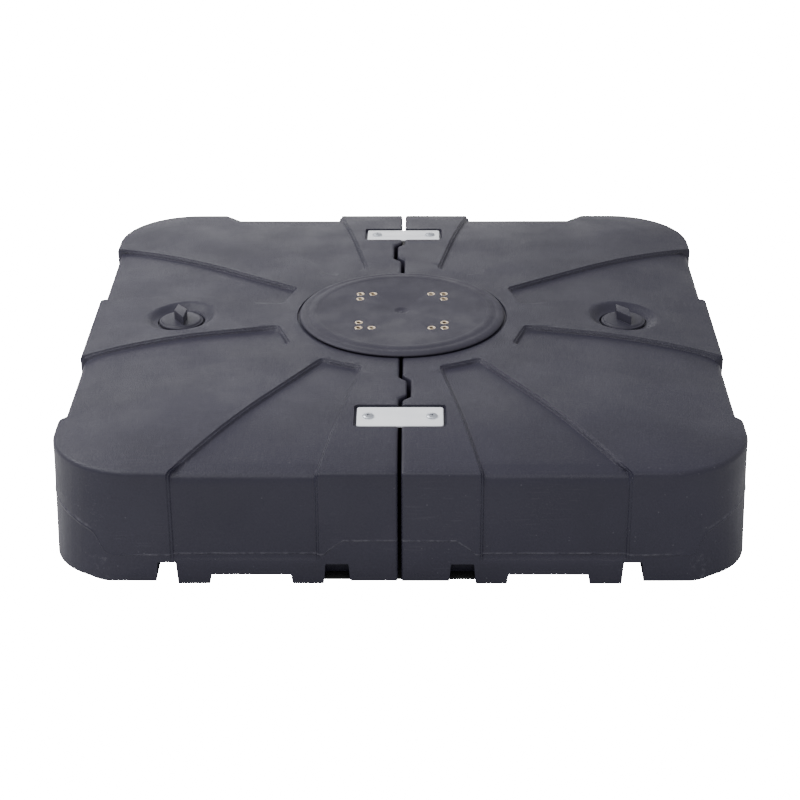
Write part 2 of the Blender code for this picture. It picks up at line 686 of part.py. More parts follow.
def make_ties(plate_material, steel, brass):
    bush_ring = tube(BUSH_R, SCREW_SHANK_R + REST_GAP, -BUSH_LENGTH - REST_GAP, -REST_GAP)
    hole = rod(SCREW_SHANK_R + SCREW_CLEARANCE, -OVERCUT, OVERCUT)
    for end, side in (("front", -1), ("rear", 1)):
        bm = bmesh.new()
        add_prism(bm, rounded_rectangle(TIE_LENGTH / 2, TIE_WIDTH / 2, TIE_CORNER_R), REST_GAP,
                  REST_GAP + TIE_THICK)
        plate = make_object(f"{end}_tie_plate", bm, plate_material)
        cut_from(plate, together(turned(hole, (way * TIE_SCREW_X, 0, 0), SMALL_STEPS) for way in (-1, 1)))
        plate.matrix_world = tie_frame(side)
        for name, way in (("left", -1), ("right", 1)):
            screw = make_tie_screw(f"{end}_{name}_tie_screw", TIE_THICK + 2 * REST_GAP, steel)
            bush = make_object(f"{end}_{name}_tie_bush", turned(bush_ring, steps=SMALL_STEPS), brass)
            for piece in (screw, bush):
                piece.matrix_world = tie_frame(side, way * TIE_SCREW_X)


def make_tie_screw(name, seat, material):
    """A pan-head screw with a cross recess."""
    top = seat + SCREW_HEAD_HEIGHT
    profile = [(0, seat - SCREW_LENGTH), (SCREW_SHANK_R, seat - SCREW_LENGTH), (SCREW_SHANK_R, seat),
               (SCREW_HEAD_R, seat), (SCREW_HEAD_R, top - 0.7 * SCREW_HEAD_HEIGHT),
               (0.8 * SCREW_HEAD_R, top - 0.2 * SCREW_HEAD_HEIGHT), (0, top)]
    screw = make_object(name, turned(profile, steps=SMALL_STEPS), material)
    slot_size = Matrix.Diagonal((CROSS_LENGTH, CROSS_WIDTH, 2 * CROSS_DEPTH, 1))
    for turn in (math.pi / 4, -math.pi / 4):
        slot = bmesh.new()
        place = Matrix.Rotation(turn, 4, "Z") @ Matrix.Translation((0, 0, top)) @ slot_size
        bmesh.ops.create_cube(slot, size=1, matrix=place)
        cut_from(screw, slot)
    return screw


# ---------------------------------------------------------------- filler caps

def make_caps(plastic, rubber):
    hollow_r = STEM_R - STEM_WALL
    ceiling = FLANGE_Z + STEM_WALL / 2
    profile = [(0, ceiling), (hollow_r, ceiling), (hollow_r, STEM_Z), (STEM_R, STEM_Z), (STEM_R, FLANGE_Z),
               (CAP_R, FLANGE_Z), (CAP_R, CAP_FACE_Z - CAP_CHAMFER), (CAP_R - CAP_CHAMFER, CAP_FACE_Z),
               (0, CAP_FACE_Z + CAP_DOME)]
    seal_ring = tube(SEAL_OUT_R, SEAL_IN_R, SEAL_Z, SEAL_Z + SEAL_THICK)
    # The right tank is turned half a turn, so its neck thread and its cap's start half a turn on.
    sides = (("left", -CAP_X, LEFT_GRIP_TURN, 0), ("right", CAP_X, RIGHT_GRIP_TURN, math.pi))
    for side, x, grip_turn, thread_start in sides:
        cap = make_object(f"{side}_filler_cap", turned(profile, steps=FILLER_STEPS), plastic)
        join_to(cap, grip(grip_turn))
        join_to(cap, ridge(STEM_R - RIDGE_SINK, STEM_THREAD_R, STEM_THREAD_Z, thread_start))
        cap.location.x = x
        seal = make_object(f"{side}_cap_seal", turned(seal_ring, steps=FILLER_STEPS), rubber)
        seal.location.x = x


def grip(turn):
    """The finger bar that stands on a cap: two flat sides at each end, widest near its middle."""
    corners = ((GRIP_LENGTH / 2, 0), (GRIP_WIDEST, GRIP_WIDTH / 2), (-GRIP_LENGTH / 2, 0),
               (GRIP_WIDEST, -GRIP_WIDTH / 2))
    bm = bmesh.new()
    add_prism(bm, corners, CAP_FACE_Z - CAP_CHAMFER, CAP_FACE_Z + GRIP_HEIGHT)
    bmesh.ops.rotate(bm, verts=bm.verts[:], cent=(0, 0, 0), matrix=Matrix.Rotation(turn, 3, "Z"))
    return bm


def main():
    clear_scene()
    hdpe = make_material("tank_plastic", (0.075, 0.078, 0.092), 0.55, 0)
    hub_plastic = make_material("hub_plastic", (0.085, 0.086, 0.098), 0.6, 0)
    cap_plastic = make_material("cap_plastic", (0.10, 0.105, 0.12), 0.35, 0)
    rubber = make_material("seal_rubber", (0.02, 0.02, 0.02), 0.8, 0)
    brass = make_material("brass", (0.72, 0.56, 0.33), 0.3, 1)
    steel = make_material("zinc_steel", (0.62, 0.64, 0.66), 0.35, 1)
    plate = make_material("white_plate", (0.9, 0.92, 0.95), 0.4, 0)
    make_tanks(hdpe)
    make_hub(hub_plastic)
    make_inserts(brass)
    make_retainer(steel, brass)
    make_ties(plate, steel, brass)
    make_caps(cap_plastic, rubber)


main()
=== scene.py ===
"""Looks of the two-part fillable parasol base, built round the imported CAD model."""
import math

import bmesh
import bpy
from mathutils import Matrix, Vector, noise


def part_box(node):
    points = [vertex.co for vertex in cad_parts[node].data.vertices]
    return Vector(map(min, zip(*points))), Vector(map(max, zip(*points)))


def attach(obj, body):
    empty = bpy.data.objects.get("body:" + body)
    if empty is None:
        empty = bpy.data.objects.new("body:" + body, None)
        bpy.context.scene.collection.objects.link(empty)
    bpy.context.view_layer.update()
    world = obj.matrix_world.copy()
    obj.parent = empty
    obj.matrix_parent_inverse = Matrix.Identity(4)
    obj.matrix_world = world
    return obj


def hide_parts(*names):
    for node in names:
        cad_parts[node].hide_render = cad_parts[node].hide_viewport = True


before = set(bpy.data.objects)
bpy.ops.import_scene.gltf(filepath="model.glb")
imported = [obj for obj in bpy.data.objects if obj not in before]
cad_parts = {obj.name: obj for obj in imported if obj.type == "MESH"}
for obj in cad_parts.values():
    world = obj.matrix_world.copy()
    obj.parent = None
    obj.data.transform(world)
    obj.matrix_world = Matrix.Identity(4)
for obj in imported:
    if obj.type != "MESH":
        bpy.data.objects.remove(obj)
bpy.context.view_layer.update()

# ---------------------------------------------------------------- sizes, from the frame where it has them

TANK_LOW, TANK_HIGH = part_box("left_tank")
HALF = -TANK_LOW.x                      # half of the base's width and depth at its rim
PLATEAU_Z = TANK_HIGH.z                 # flat middle of the tank tops
GAP = 0.0003                            # between touching pieces

# Tank moulding
CORNER_R = 0.130                        # plan radius of the outer corners, at the top
CORNER_FOOT_R = 0.093                   # and at the floor
CROWN_DROP = 0.022                      # fall of the top from its plateau to its outline
SHOULDER = 0.210                        # how far in from the outline that fall starts
TAPER = 0.0010                          # lean of the walls
SIDE_FOOT_R = 0.013
RIM_R = 0.006
SPLIT_EDGE_SHARE = 0.7                  # the split's edges are rounded by this share of the rim's radius
FLOOR_EDGE_SHARE = 0.2
UPRIGHT_SHARE = 0.9
SPLIT_X = -0.0025                       # the left tank's side of the split
TONGUE_Y = 0.2685
TONGUE_HALF = 0.0365
TONGUE_X = TANK_HIGH.x
TONGUE_CLEARANCE = 0.0055
HUB_GAP = 0.097                         # half of the square opening round the hub's core
EDGE_BAND = 0.03                        # how far in from the outline a change of the walls fades out
FOOT_BAND = 0.09
TOP_FADE_Z = 0.075                      # the walls take up the fall of the top above this height
SKIRT_Z = 0.044                         # and follow the feet under this one
RIM_LOW_Z = PLATEAU_Z - CROWN_DROP - RIM_R      # where the rounded rim meets the wall

# Sunk panels, as border lines in one quadrant, and their walls
PANEL_DEPTH = 0.0063
PANEL_SIDE_DEPTH = 0.0045
WALL_RUN = 0.0042
WALL_EASE = 0.0006                      # rounding of a panel wall's brow and foot
WALL_STEPS = ((0.0, 0.38, 0.45), (0.60, 1.0, 0.55))     # a panel wall falls in two steps: start, end, share
PANEL_RIM = 0.0085                      # extra rounding of the outer rim over a panel, inwards and down
PANEL_RIM_Z = 0.020
PANEL_CORNER = 0.009                    # how softly a panel's borders run into each other
SIDE_PANEL = (((0.1716, 0.1094), (0.1931, 0.0424)), ((0.1953, 0.0418), (0.4903, 0.1088)),
              ((0.4873, 0.3260), (0.1728, 0.1110)))
END_PANEL = (((0.0582, 0.1932), (0.1212, 0.1642)), ((0.1118, 0.4902), (0.0578, 0.1952)),
             ((0.1231, 0.1654), (0.3211, 0.4944)))

# Feet, as distances from the middle plane
RAILS = ((0.108, 0.152), (0.270, 0.315))
CHANNEL = (0.315, 0.346)
CHANNEL_Z = 0.035
RECESS_Z = 0.0147
BODY_FLOOR_Z = 0.0045
END_POCKET = (0.070, 0.108)
END_POCKET_Z = 0.032
END_POCKET_DEPTH = 0.030
FOOT_RUN = 0.003
CORNER_LIFT = 0.0045                    # the underside is this much higher under the corners
CORNER_LIFT_X = (0.385, 0.435)

# Parting line of the mould, and the ledge under it on the end walls
FLASH_Z = 0.048
FLASH_RIB_Z = 0.071                     # where it crosses the middle rib
FLASH_CORNER_Z = 0.083
FLASH_SIDE_Z = 0.104
FLASH_HALF = 0.0008                     # half of its width
FLASH_PROUD = 0.0011
LEDGE_Z = 0.034
LEDGE_FALL = 0.010                      # the wall panels run out in this height over it

# Mounting hub
HUB_LOW, HUB_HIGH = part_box("mount_hub")
DISC_R = HUB_HIGH.x
DISC_TOP = HUB_HIGH.z
CORE_HALF = 0.095
CORE_R = 0.025
CORE_WALL = 0.007
HUB_PLATE = 0.026
BOLT_XY = 0.066
BOSS_R = 0.0135
BUSH_HOLE_R = 0.0063
BUSH_HOLE_HIGH = 0.0608
RECESS_R = 0.146
RETAINER_LOW, RETAINER_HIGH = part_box("hub_retainer_plate")
RETAINER_BORE_R = 0.045
BOLT_HOLE_R = 0.0055
BOLT_R = 0.0049
BOLT_ROOT_R = 0.0042
BOLT_PITCH = 0.0015
BOLT_HEAD_HEIGHT = 0.0064
BOLT_HALF_FLATS = 0.008
BUSH_R = 0.0060
BUSH_END_R = 0.0056                     # of its chamfered ends
BUSH_GROOVE_R = 0.0054
RETAINER_BUSH = (0.0125, 0.0052)        # half length and bore radius
TIE_BUSH = (0.0075, 0.0042)

# Flange inserts
INSERT_NODES = [f"flange_insert_{number:02d}" for number in range(1, 13)]
INSERT_BORE_R = 0.0034
INSERT_PITCH = 0.00125                  # M8

# Tie plates, in the frames of their tilted pockets
TIE_LOW, TIE_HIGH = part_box("rear_tie_plate")
TIE_Y = (TIE_LOW.y + TIE_HIGH.y) / 2
TIE_HALF_X = TIE_HIGH.x
TIE_HALF_Y = 0.027
TIE_THICK = 0.003
TIE_FALL = 1 - (HALF - 0.3565) / SHOULDER
TIE_TILT = math.atan(2 * CROWN_DROP / SHOULDER * TIE_FALL)
TIE_Z = (TIE_LOW.z + TIE_HIGH.z) / 2 - TIE_THICK / 2 - GAP
TIE_SCREW_X = 0.046
POCKET_CLEARANCE = 0.0035
POCKET_R = 0.006
POCKET_TOP = 0.012                      # how far the pocket's cutter stands over its floor
TIE_CORNER_R = 0.0045
TIE_HOLE_R = 0.0043
SCREW_R = 0.0039
HEAD_R = 0.0082
HEAD_HEIGHT = 0.0034
SCREW_LENGTH = 0.017
SCREW_PITCH = 0.00125

# Filler caps, seals and necks
CAP_LOW, CAP_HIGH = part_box("left_filler_cap")
SEAL_LOW, SEAL_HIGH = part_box("left_cap_seal")
SEAL_IN_R = 0.0300
SEAL_EASE = 0.0004
CAP_X = -(CAP_LOW.x + CAP_HIGH.x) / 2
CAP_R = (CAP_HIGH.x - CAP_LOW.x) / 2 - 0.0006
CAP_FACE = PLATEAU_Z - 0.008
FLANGE_Z = SEAL_HIGH.z + GAP
SEAT_Z = SEAL_LOW.z - GAP
SEAT_R = CAP_R + 0.0025
DISH_FLOOR_R = SEAT_R + 0.0015
DISH_R = 0.057
DISH_FLOOR_Z = 0.1882
DISH_LEAN = 0.03                        # the dish follows the fall of the top a little
NECK_R = 0.0292
NECK_THREAD_R = 0.0274
STEM_R = 0.0260
STEM_THREAD_R = 0.0283
STEM_WALL = 0.0035
THREAD_PITCH = 0.006
THREAD_TURNS = 1.75
THREAD_ROOT = 0.0026
THREAD_CREST = 0.0014
THREAD_SINK = 0.001
STEM_THREAD_Z = CAP_LOW.z + 0.0025
NECK_THREAD_Z = STEM_THREAD_Z - THREAD_PITCH / 2
GRIP_LENGTH = 0.055                     # from tip to tip
GRIP_WIDTH = 0.021
GRIP_WIDEST = -0.003
GRIP_TURN = {"left": math.radians(-76), "right": math.radians(-68)}

# Camera and floor
CAMERA_PLACE = (0.0285, -3.0413, 1.5302)
CAMERA_TURN = (-0.0106, 0.4534, -0.0046)        # yaw, pitch and roll
CAMERA_LENS = 93.5
FLOOR_GLOW = 30.0
# painted shadow: the floor is painted near black and does not glow in these places
SHADE_HALF_X = 0.112                    # the floor is dark under the middle of the base,
SHADE_INSET = 0.014                     # this far in from its front and rear,
SPLIT_SHADE_HALF = 0.02                 # and in a strip along its split that runs on behind it
SPLIT_SHADE_Y = 0.2
SPLIT_SHADE_REACH = 0.65

ROUND = 96                              # steps round a turned piece
SMALL_ROUND = 40
SHARP = math.radians(32)


# ---------------------------------------------------------------- mesh tools

def ramp(t):
    return min(1.0, max(0.0, t))


def smooth(t):
    t = ramp(t)
    return t * t * (3 - 2 * t)


def bell(distance, width):
    return math.exp(-(distance / width) ** 2)


def soft_min(a, b, k):
    h = max(k - abs(a - b), 0.0) / k
    return min(a, b) - h * h * k / 4


def arc(centre, radius, start, end, steps):
    return [(centre[0] + radius * math.cos(start + (end - start) * i / steps),
             centre[1] + radius * math.sin(start + (end - start) * i / steps)) for i in range(steps + 1)]


def rounded_rectangle(half_x, half_y, radius, steps=8):
    points = []
    for quarter, (sx, sy) in enumerate(((1, 1), (-1, 1), (-1, -1), (1, -1))):
        start = quarter * math.pi / 2
        centre = (sx * (half_x - radius), sy * (half_y - radius))
        points += arc(centre, radius, start, start + math.pi / 2, steps)
    return points


def prism(points, low, high):
    """A closed upright prism over a plan outline."""
    bm = bmesh.new()
    face = bm.faces.new([bm.verts.new((x, y, low)) for x, y in points])
    raised = bmesh.ops.extrude_face_region(bm, geom=[face])["geom"]
    top = [v for v in raised if isinstance(v, bmesh.types.BMVert)]
    bmesh.ops.translate(bm, verts=top, vec=(0, 0, high - low))
    bmesh.ops.recalc_face_normals(bm, faces=bm.faces[:])
    return bm


def turned(profile, steps=ROUND, centre=(0, 0, 0)):
    """A solid of revolution from (radius, z) points; it closes on its axis or on itself."""
    bm = bmesh.new()
    points = [bm.verts.new((r, 0, z)) for r, z in profile]
    edges = [bm.edges.new(pair) for pair in zip(points, points[1:])]
    if profile[0][0] > 0:
        edges.append(bm.edges.new((points[-1], points[0])))
    bmesh.ops.spin(bm, geom=points + edges, axis=(0, 0, 1), cent=(0, 0, 0), angle=2 * math.pi, steps=steps,
                   use_merge=True)
    bmesh.ops.remove_doubles(bm, verts=bm.verts[:], dist=1e-6)
    bmesh.ops.recalc_face_normals(bm, faces=bm.faces[:])
    bmesh.ops.translate(bm, verts=bm.verts[:], vec=centre)
    return bm


def rod(radius, low, high):
    return [(0, low), (radius, low), (radius, high), (0, high)]


def thread_ridge(root_r, crest_r, low, start):
    """A right-handed thread ridge: its section spun up a helix, with both ends closed."""
    bm = bmesh.new()
    steps = 60
    corners = [bm.verts.new((r, 0, low + rise)) for r, rise in (
        (root_r, -THREAD_ROOT / 2), (crest_r, -THREAD_CREST / 2), (crest_r, THREAD_CREST / 2),
        (root_r, THREAD_ROOT / 2))]
    edges = [bm.edges.new((corners[i], corners[(i + 1) % 4])) for i in range(4)]
    bmesh.ops.rotate(bm, verts=corners, cent=(0, 0, 0), matrix=Matrix.Rotation(start, 3, "Z"))
    bmesh.ops.spin(bm, geom=corners + edges, axis=(0, 0, 1), cent=(0, 0, 0), angle=2 * math.pi * THREAD_TURNS,
                   dvec=(0, 0, THREAD_PITCH / steps), steps=round(steps * THREAD_TURNS))
    bmesh.ops.holes_fill(bm, edges=[e for e in bm.edges if e.is_boundary], sides=0)
    bmesh.ops.recalc_face_normals(bm, faces=bm.faces[:])
    return bm


def moved(bm, matrix):
    bmesh.ops.transform(bm, matrix=matrix, verts=bm.verts[:])
    return bm


def mesh_object(name, bm):
    mesh = bpy.data.meshes.new(name)
    bm.to_mesh(mesh)
    bm.free()
    obj = bpy.data.objects.new(name, mesh)
    bpy.context.scene.collection.objects.link(obj)
    mesh.shade_smooth()
    mesh.set_sharp_from_angle(angle=SHARP)
    return obj


def apply_modifiers(obj):
    bpy.context.view_layer.update()
    graph = bpy.context.evaluated_depsgraph_get()
    mesh = bpy.data.meshes.new_from_object(obj.evaluated_get(graph))
    obj.modifiers.clear()
    old = obj.data
    obj.data = mesh
    bpy.data.meshes.remove(old)
    mesh.shade_smooth()
    mesh.set_sharp_from_angle(angle=SHARP)


def combine(obj, bm, operation):
    helper = mesh_object("helper", bm)
    modifier = obj.modifiers.new("combine", "BOOLEAN")
    modifier.operation = operation
    modifier.object = helper
    apply_modifiers(obj)
    bpy.data.objects.remove(helper)


def cut_away(obj, bm):
    combine(obj, bm, "DIFFERENCE")


def join_on(obj, bm):
    combine(obj, bm, "UNION")


def ease_edges(obj, width, segments=2, angle=40):
    """Rounds every edge that is sharper than the angle."""
    bevel = obj.modifiers.new("eased edges", "BEVEL")
    bevel.width = width
    bevel.segments = segments
    bevel.limit_method = "ANGLE"
    bevel.angle_limit = math.radians(angle)
    apply_modifiers(obj)


def mark_recess_shade(obj, brim, radius):
    """Stores how deep in a bore or a slot each point lies, where the metal is painted darker as shade and made
    rougher.
    """
    layer = obj.data.attributes.new("recess", "FLOAT", "POINT").data
    for index, vert in enumerate(obj.data.vertices):
        layer[index].value = ramp((brim - vert.co.z) / 0.001) if vert.co.xy.length < radius else 0


def place(obj, body, slot, *nodes):
    """Hands a finished piece to the frame, in the finish of its slot."""
    obj.data.materials.clear()
    obj.data.materials.append(finishes[slot])
    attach(obj, body)
    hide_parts(*nodes)


# ---------------------------------------------------------------- shader tools

class Shading:
    """Adds nodes to one tree; an input is given a value or another node's output."""

    def __init__(self, tree):
        self.tree = tree

    def add(self, kind, inputs=(), **settings):
        node = self.tree.nodes.new("ShaderNode" + kind)
        for name, value in settings.items():
            setattr(node, name, value)
        for key, value in dict(inputs).items():
            self.feed(node.inputs[key], value)
        return node

    def feed(self, socket, value):
        if isinstance(value, bpy.types.NodeSocket):
            self.tree.links.new(value, socket)
        else:
            socket.default_value = value

    def calc(self, operation, a, b=0.0):
        return self.add("Math", {0: a, 1: b}, operation=operation).outputs[0]

    def spread(self, value, low, high, to_low=0.0, to_high=1.0):
        node = self.add("MapRange", {"Value": value, "From Min": low, "From Max": high, "To Min": to_low,
                                     "To Max": to_high}, interpolation_type="SMOOTHSTEP")
        return node.outputs[0]

    def blend(self, share, a, b):
        node = self.add("Mix", {"Factor": share, 6: a, 7: b}, data_type="RGBA")
        return node.outputs[2]

    def cloud(self, place_at, scale, detail=2.0):
        node = self.add("TexNoise", {"Vector": place_at, "Scale": scale, "Detail": detail})
        return node.outputs[0]

    def here(self):
        return self.add("TexCoord").outputs["Object"]

    def attribute(self, name):
        return self.add("Attribute", attribute_name=name).outputs["Fac"]

    def effect(self, name, inputs=()):
        node = self.add("Group", node_tree=bpy.data.node_groups[name])
        for key, value in dict(inputs).items():
            self.feed(node.inputs[key], value)
        return node.outputs[0]


def effect_group(name, inputs, output, kind="NodeSocketFloat"):
    """A node group with float inputs, or colour ones where the default is a colour, and one output."""
    tree = bpy.data.node_groups.new(name, "ShaderNodeTree")
    for label, default in inputs.items():
        is_colour = isinstance(default, tuple)
        socket = tree.interface.new_socket(label, in_out="INPUT",
                                           socket_type="NodeSocketColor" if is_colour else "NodeSocketFloat")
        socket.default_value = default
    tree.interface.new_socket(output, in_out="OUTPUT", socket_type=kind)
    source = tree.nodes.new("NodeGroupInput").outputs
    target = tree.nodes.new("NodeGroupOutput").inputs[0]
    return Shading(tree), source, target


def make_leather_grain():
    """Height of a fine pebbled mould grain."""
    sh, given, result = effect_group("leather_grain", {"Scale": 520.0}, "Height")
    here = sh.here()
    pebbles = sh.add("TexVoronoi", {"Vector": here, "Scale": given["Scale"], "Smoothness": 0.55},
                     feature="SMOOTH_F1").outputs["Distance"]
    pits = sh.cloud(here, sh.calc("MULTIPLY", given["Scale"], 2.1))
    height = sh.calc("ADD", sh.calc("MULTIPLY", sh.calc("SUBTRACT", 1.0, pebbles), 0.75),
                     sh.calc("MULTIPLY", pits, 0.45))
    sh.feed(result, height)


def make_resin_tone():
    """A moulding's colour, slightly uneven on a wide and on a fine scale."""
    inputs = {"Colour": (0.05, 0.05, 0.06, 1), "Shade": (0.03, 0.03, 0.04, 1), "Scale": 7.0}
    sh, given, result = effect_group("resin_tone", inputs, "Colour", "NodeSocketColor")
    here = sh.here()
    wide = sh.cloud(here, given["Scale"], 3.0)
    fine = sh.cloud(here, sh.calc("MULTIPLY", given["Scale"], 60.0), 2.0)
    share = sh.calc("ADD", sh.calc("MULTIPLY", wide, 0.7), sh.calc("MULTIPLY", fine, 0.3))
    sh.feed(result, sh.blend(sh.spread(share, 0.35, 0.65), given["Shade"], given["Colour"]))


def make_dust_specks():
    """Mask of scattered pale specks."""
    sh, given, result = effect_group("dust_specks", {"Scale": 160.0, "Share": 0.1, "Size": 0.16}, "Mask")
    cells = sh.add("TexVoronoi", {"Vector": sh.here(), "Scale": given["Scale"]}, feature="F1")
    dot = sh.calc("LESS_THAN", cells.outputs["Distance"], given["Size"])
    lot = sh.add("SeparateColor", {"Color": cells.outputs["Color"]}).outputs[0]
    chosen = sh.calc("LESS_THAN", lot, given["Share"])
    sh.feed(result, sh.calc("MULTIPLY", dot, chosen))


def make_fine_scratches():
    """Mask of short thin scratches, in patches."""
    sh, given, result = effect_group("fine_scratches", {"Scale": 30.0, "Share": 0.4}, "Mask")
    here = sh.here()
    lines = []
    for turn, stretch in (((0.3, 0.5, 0.4), (1, 22, 22)), ((1.1, 0.2, 2.0), (20, 1, 20))):
        mapping = sh.add("Mapping", {"Vector": here, "Rotation": turn, "Scale": stretch})
        streak = sh.cloud(mapping.outputs[0], given["Scale"], 1.0)
        lines.append(sh.spread(streak, 0.655, 0.70))
    patch = sh.cloud(here, sh.calc("MULTIPLY", given["Scale"], 0.35), 2.0)
    patch = sh.spread(sh.calc("ADD", patch, given["Share"]), 0.85, 1.05)
    sh.feed(result, sh.calc("MULTIPLY", sh.calc("MAXIMUM", *lines), patch))


def make_rubbed_edge():
    """Mask of broken wear where the piece's own wear value is high."""
    sh, given, result = effect_group("rubbed_edge", {"Wear": 0.0, "Scale": 60.0}, "Mask")
    here = sh.here()
    patch = sh.cloud(here, given["Scale"], 4.0)
    grit = sh.cloud(here, sh.calc("MULTIPLY", given["Scale"], 9.0), 2.0)
    broken = sh.calc("ADD", sh.calc("MULTIPLY", patch, 0.6), sh.calc("MULTIPLY", grit, 0.4))
    worn = sh.calc("ADD", broken, sh.calc("MULTIPLY", given["Wear"], 0.3))
    sh.feed(result, sh.calc("MULTIPLY", sh.spread(worn, 0.66, 0.8), given["Wear"]))


def new_material(name):
    material = bpy.data.materials.new(name)
    material.use_nodes = True
    sh = Shading(material.node_tree)
    return material, sh, material.node_tree.nodes["Principled BSDF"].inputs


def bump(sh, height, depth, strength=1.0):
    return sh.add("Bump", {"Height": height, "Distance": depth, "Strength": strength}).outputs[0]


def grained_plastic(name, colour, shade, roughness, grain_scale, grain_depth):
    """Injection-moulded plastic with a fine grain, dust and light scratches."""
    material, sh, shader = new_material(name)
    tone = sh.effect("resin_tone", {"Colour": (*colour, 1), "Shade": (*shade, 1), "Scale": 16.0})
    dust = sh.effect("dust_specks", {"Scale": 240.0, "Share": 0.05, "Size": 0.2})
    scratches = sh.effect("fine_scratches", {"Scale": 60.0, "Share": 0.35})
    marks = sh.calc("ADD", sh.calc("MULTIPLY", dust, 0.35), sh.calc("MULTIPLY", scratches, 0.12))
    pale = (0.15, 0.15, 0.17, 1)
    sh.feed(shader["Base Color"], sh.blend(marks, tone, pale))
    shader["Specular IOR Level"].default_value = 0.3
    cloudy = sh.cloud(sh.here(), 25.0, 3.0)
    sh.feed(shader["Roughness"], sh.spread(cloudy, 0.3, 0.7, roughness - 0.05, roughness + 0.07))
    grain = sh.effect("leather_grain", {"Scale": grain_scale})
    sh.feed(shader["Normal"], bump(sh, grain, grain_depth))
    return material


def tank_plastic():
    """Blow-moulded shell: pebbled on top, smoother on the walls, with the mould's parting line and wear."""
    material, sh, shader = new_material("tank_shell_finish")
    tone = sh.effect("resin_tone", {"Colour": (0.0265, 0.0250, 0.0410, 1),
                                    "Shade": (0.0220, 0.0208, 0.0345, 1), "Scale": 6.0})
    dust = sh.effect("dust_specks", {"Scale": 130.0, "Share": 0.07, "Size": 0.15})
    scratches = sh.effect("fine_scratches", {"Scale": 22.0, "Share": 0.38})
    rubbed = sh.effect("rubbed_edge", {"Wear": sh.attribute("wear"), "Scale": 130.0})
    flash = sh.attribute("flash")
    broken = sh.spread(sh.cloud(sh.here(), 120.0, 3.0), 0.35, 0.65, 0.15, 1.0)
    flash = sh.calc("MULTIPLY", flash, broken)
    marks = sh.calc("ADD", sh.calc("MULTIPLY", dust, 0.22), sh.calc("MULTIPLY", scratches, 0.08))
    marks = sh.calc("ADD", marks, sh.calc("MULTIPLY", rubbed, 0.5))
    marks = sh.calc("ADD", marks, sh.calc("MULTIPLY", flash, 0.4))
    ledge = sh.attribute("ledge")
    glints = sh.spread(sh.cloud(sh.here(), 520.0, 2.0), 0.52, 0.66)
    marks = sh.calc("ADD", marks, sh.calc("MULTIPLY", sh.calc("MULTIPLY", glints, ledge), 0.22))
    pale = (0.17, 0.165, 0.19, 1)
    sh.feed(shader["Base Color"], sh.blend(marks, tone, pale))
    shader["Specular IOR Level"].default_value = 0.3
    cloudy = sh.cloud(sh.here(), 14.0, 3.0)
    rough = sh.spread(cloudy, 0.3, 0.7, 0.38, 0.48)
    sh.feed(shader["Roughness"], sh.calc("ADD", rough, sh.calc("MULTIPLY", rubbed, 0.15)))
    depth = sh.calc("ADD", sh.attribute("grain"), ledge)
    grain = sh.calc("MULTIPLY", sh.effect("leather_grain", {"Scale": 680.0}), depth)
    orange_peel = sh.calc("MULTIPLY", sh.cloud(sh.here(), 190.0, 2.0), 0.35)
    sh.feed(shader["Normal"], bump(sh, sh.calc("ADD", grain, orange_peel), 0.00042))
    return material


def seal_rubber():
    material, sh, shader = new_material("seal_rubber_finish")
    tone = sh.effect("resin_tone", {"Colour": (0.022, 0.022, 0.023, 1), "Shade": (0.012, 0.012, 0.012, 1),
                                    "Scale": 40.0})
    bloom = sh.effect("dust_specks", {"Scale": 500.0, "Share": 0.2, "Size": 0.25})
    sh.feed(shader["Base Color"], sh.blend(sh.calc("MULTIPLY", bloom, 0.2), tone, (0.2, 0.2, 0.2, 1)))
    sh.feed(shader["Roughness"], sh.spread(sh.cloud(sh.here(), 90.0), 0.3, 0.7, 0.66, 0.82))
    sh.feed(shader["Normal"], bump(sh, sh.effect("leather_grain", {"Scale": 1500.0}), 0.00008))
    return material


def metal(name, colour, tarnish, recess_shade, roughness, scratch_scale):
    """Turned or plated metal: tarnish in patches, painted shade in its recesses, fine scratches in its gloss."""
    material, sh, shader = new_material(name)
    shader["Metallic"].default_value = 1.0
    here = sh.here()
    patch = sh.spread(sh.cloud(here, 70.0, 3.0), 0.42, 0.68)
    grime = sh.spread(sh.cloud(here, 420.0, 2.0), 0.5, 0.75)
    share = sh.calc("ADD", sh.calc("MULTIPLY", patch, 0.6), sh.calc("MULTIPLY", grime, 0.35))
    recess = sh.attribute("recess")
    # painted shade: bores and slots take the dark recess colour
    sh.feed(shader["Base Color"], sh.blend(recess, sh.blend(share, (*colour, 1), (*tarnish, 1)), (*recess_shade, 1)))
    scratches = sh.effect("fine_scratches", {"Scale": scratch_scale, "Share": 0.6})
    rough = sh.spread(patch, 0.0, 1.0, roughness - 0.06, roughness + 0.14)
    rough = sh.calc("ADD", rough, sh.calc("MULTIPLY", scratches, 0.12))
    sh.feed(shader["Roughness"], sh.calc("ADD", rough, sh.calc("MULTIPLY", recess, 0.3)))
    turning = sh.cloud(sh.add("Mapping", {"Vector": here, "Scale": (1, 1, 6)}).outputs[0], 900.0, 1.0)
    sh.feed(shader["Normal"], bump(sh, turning, 0.00004))
    return material


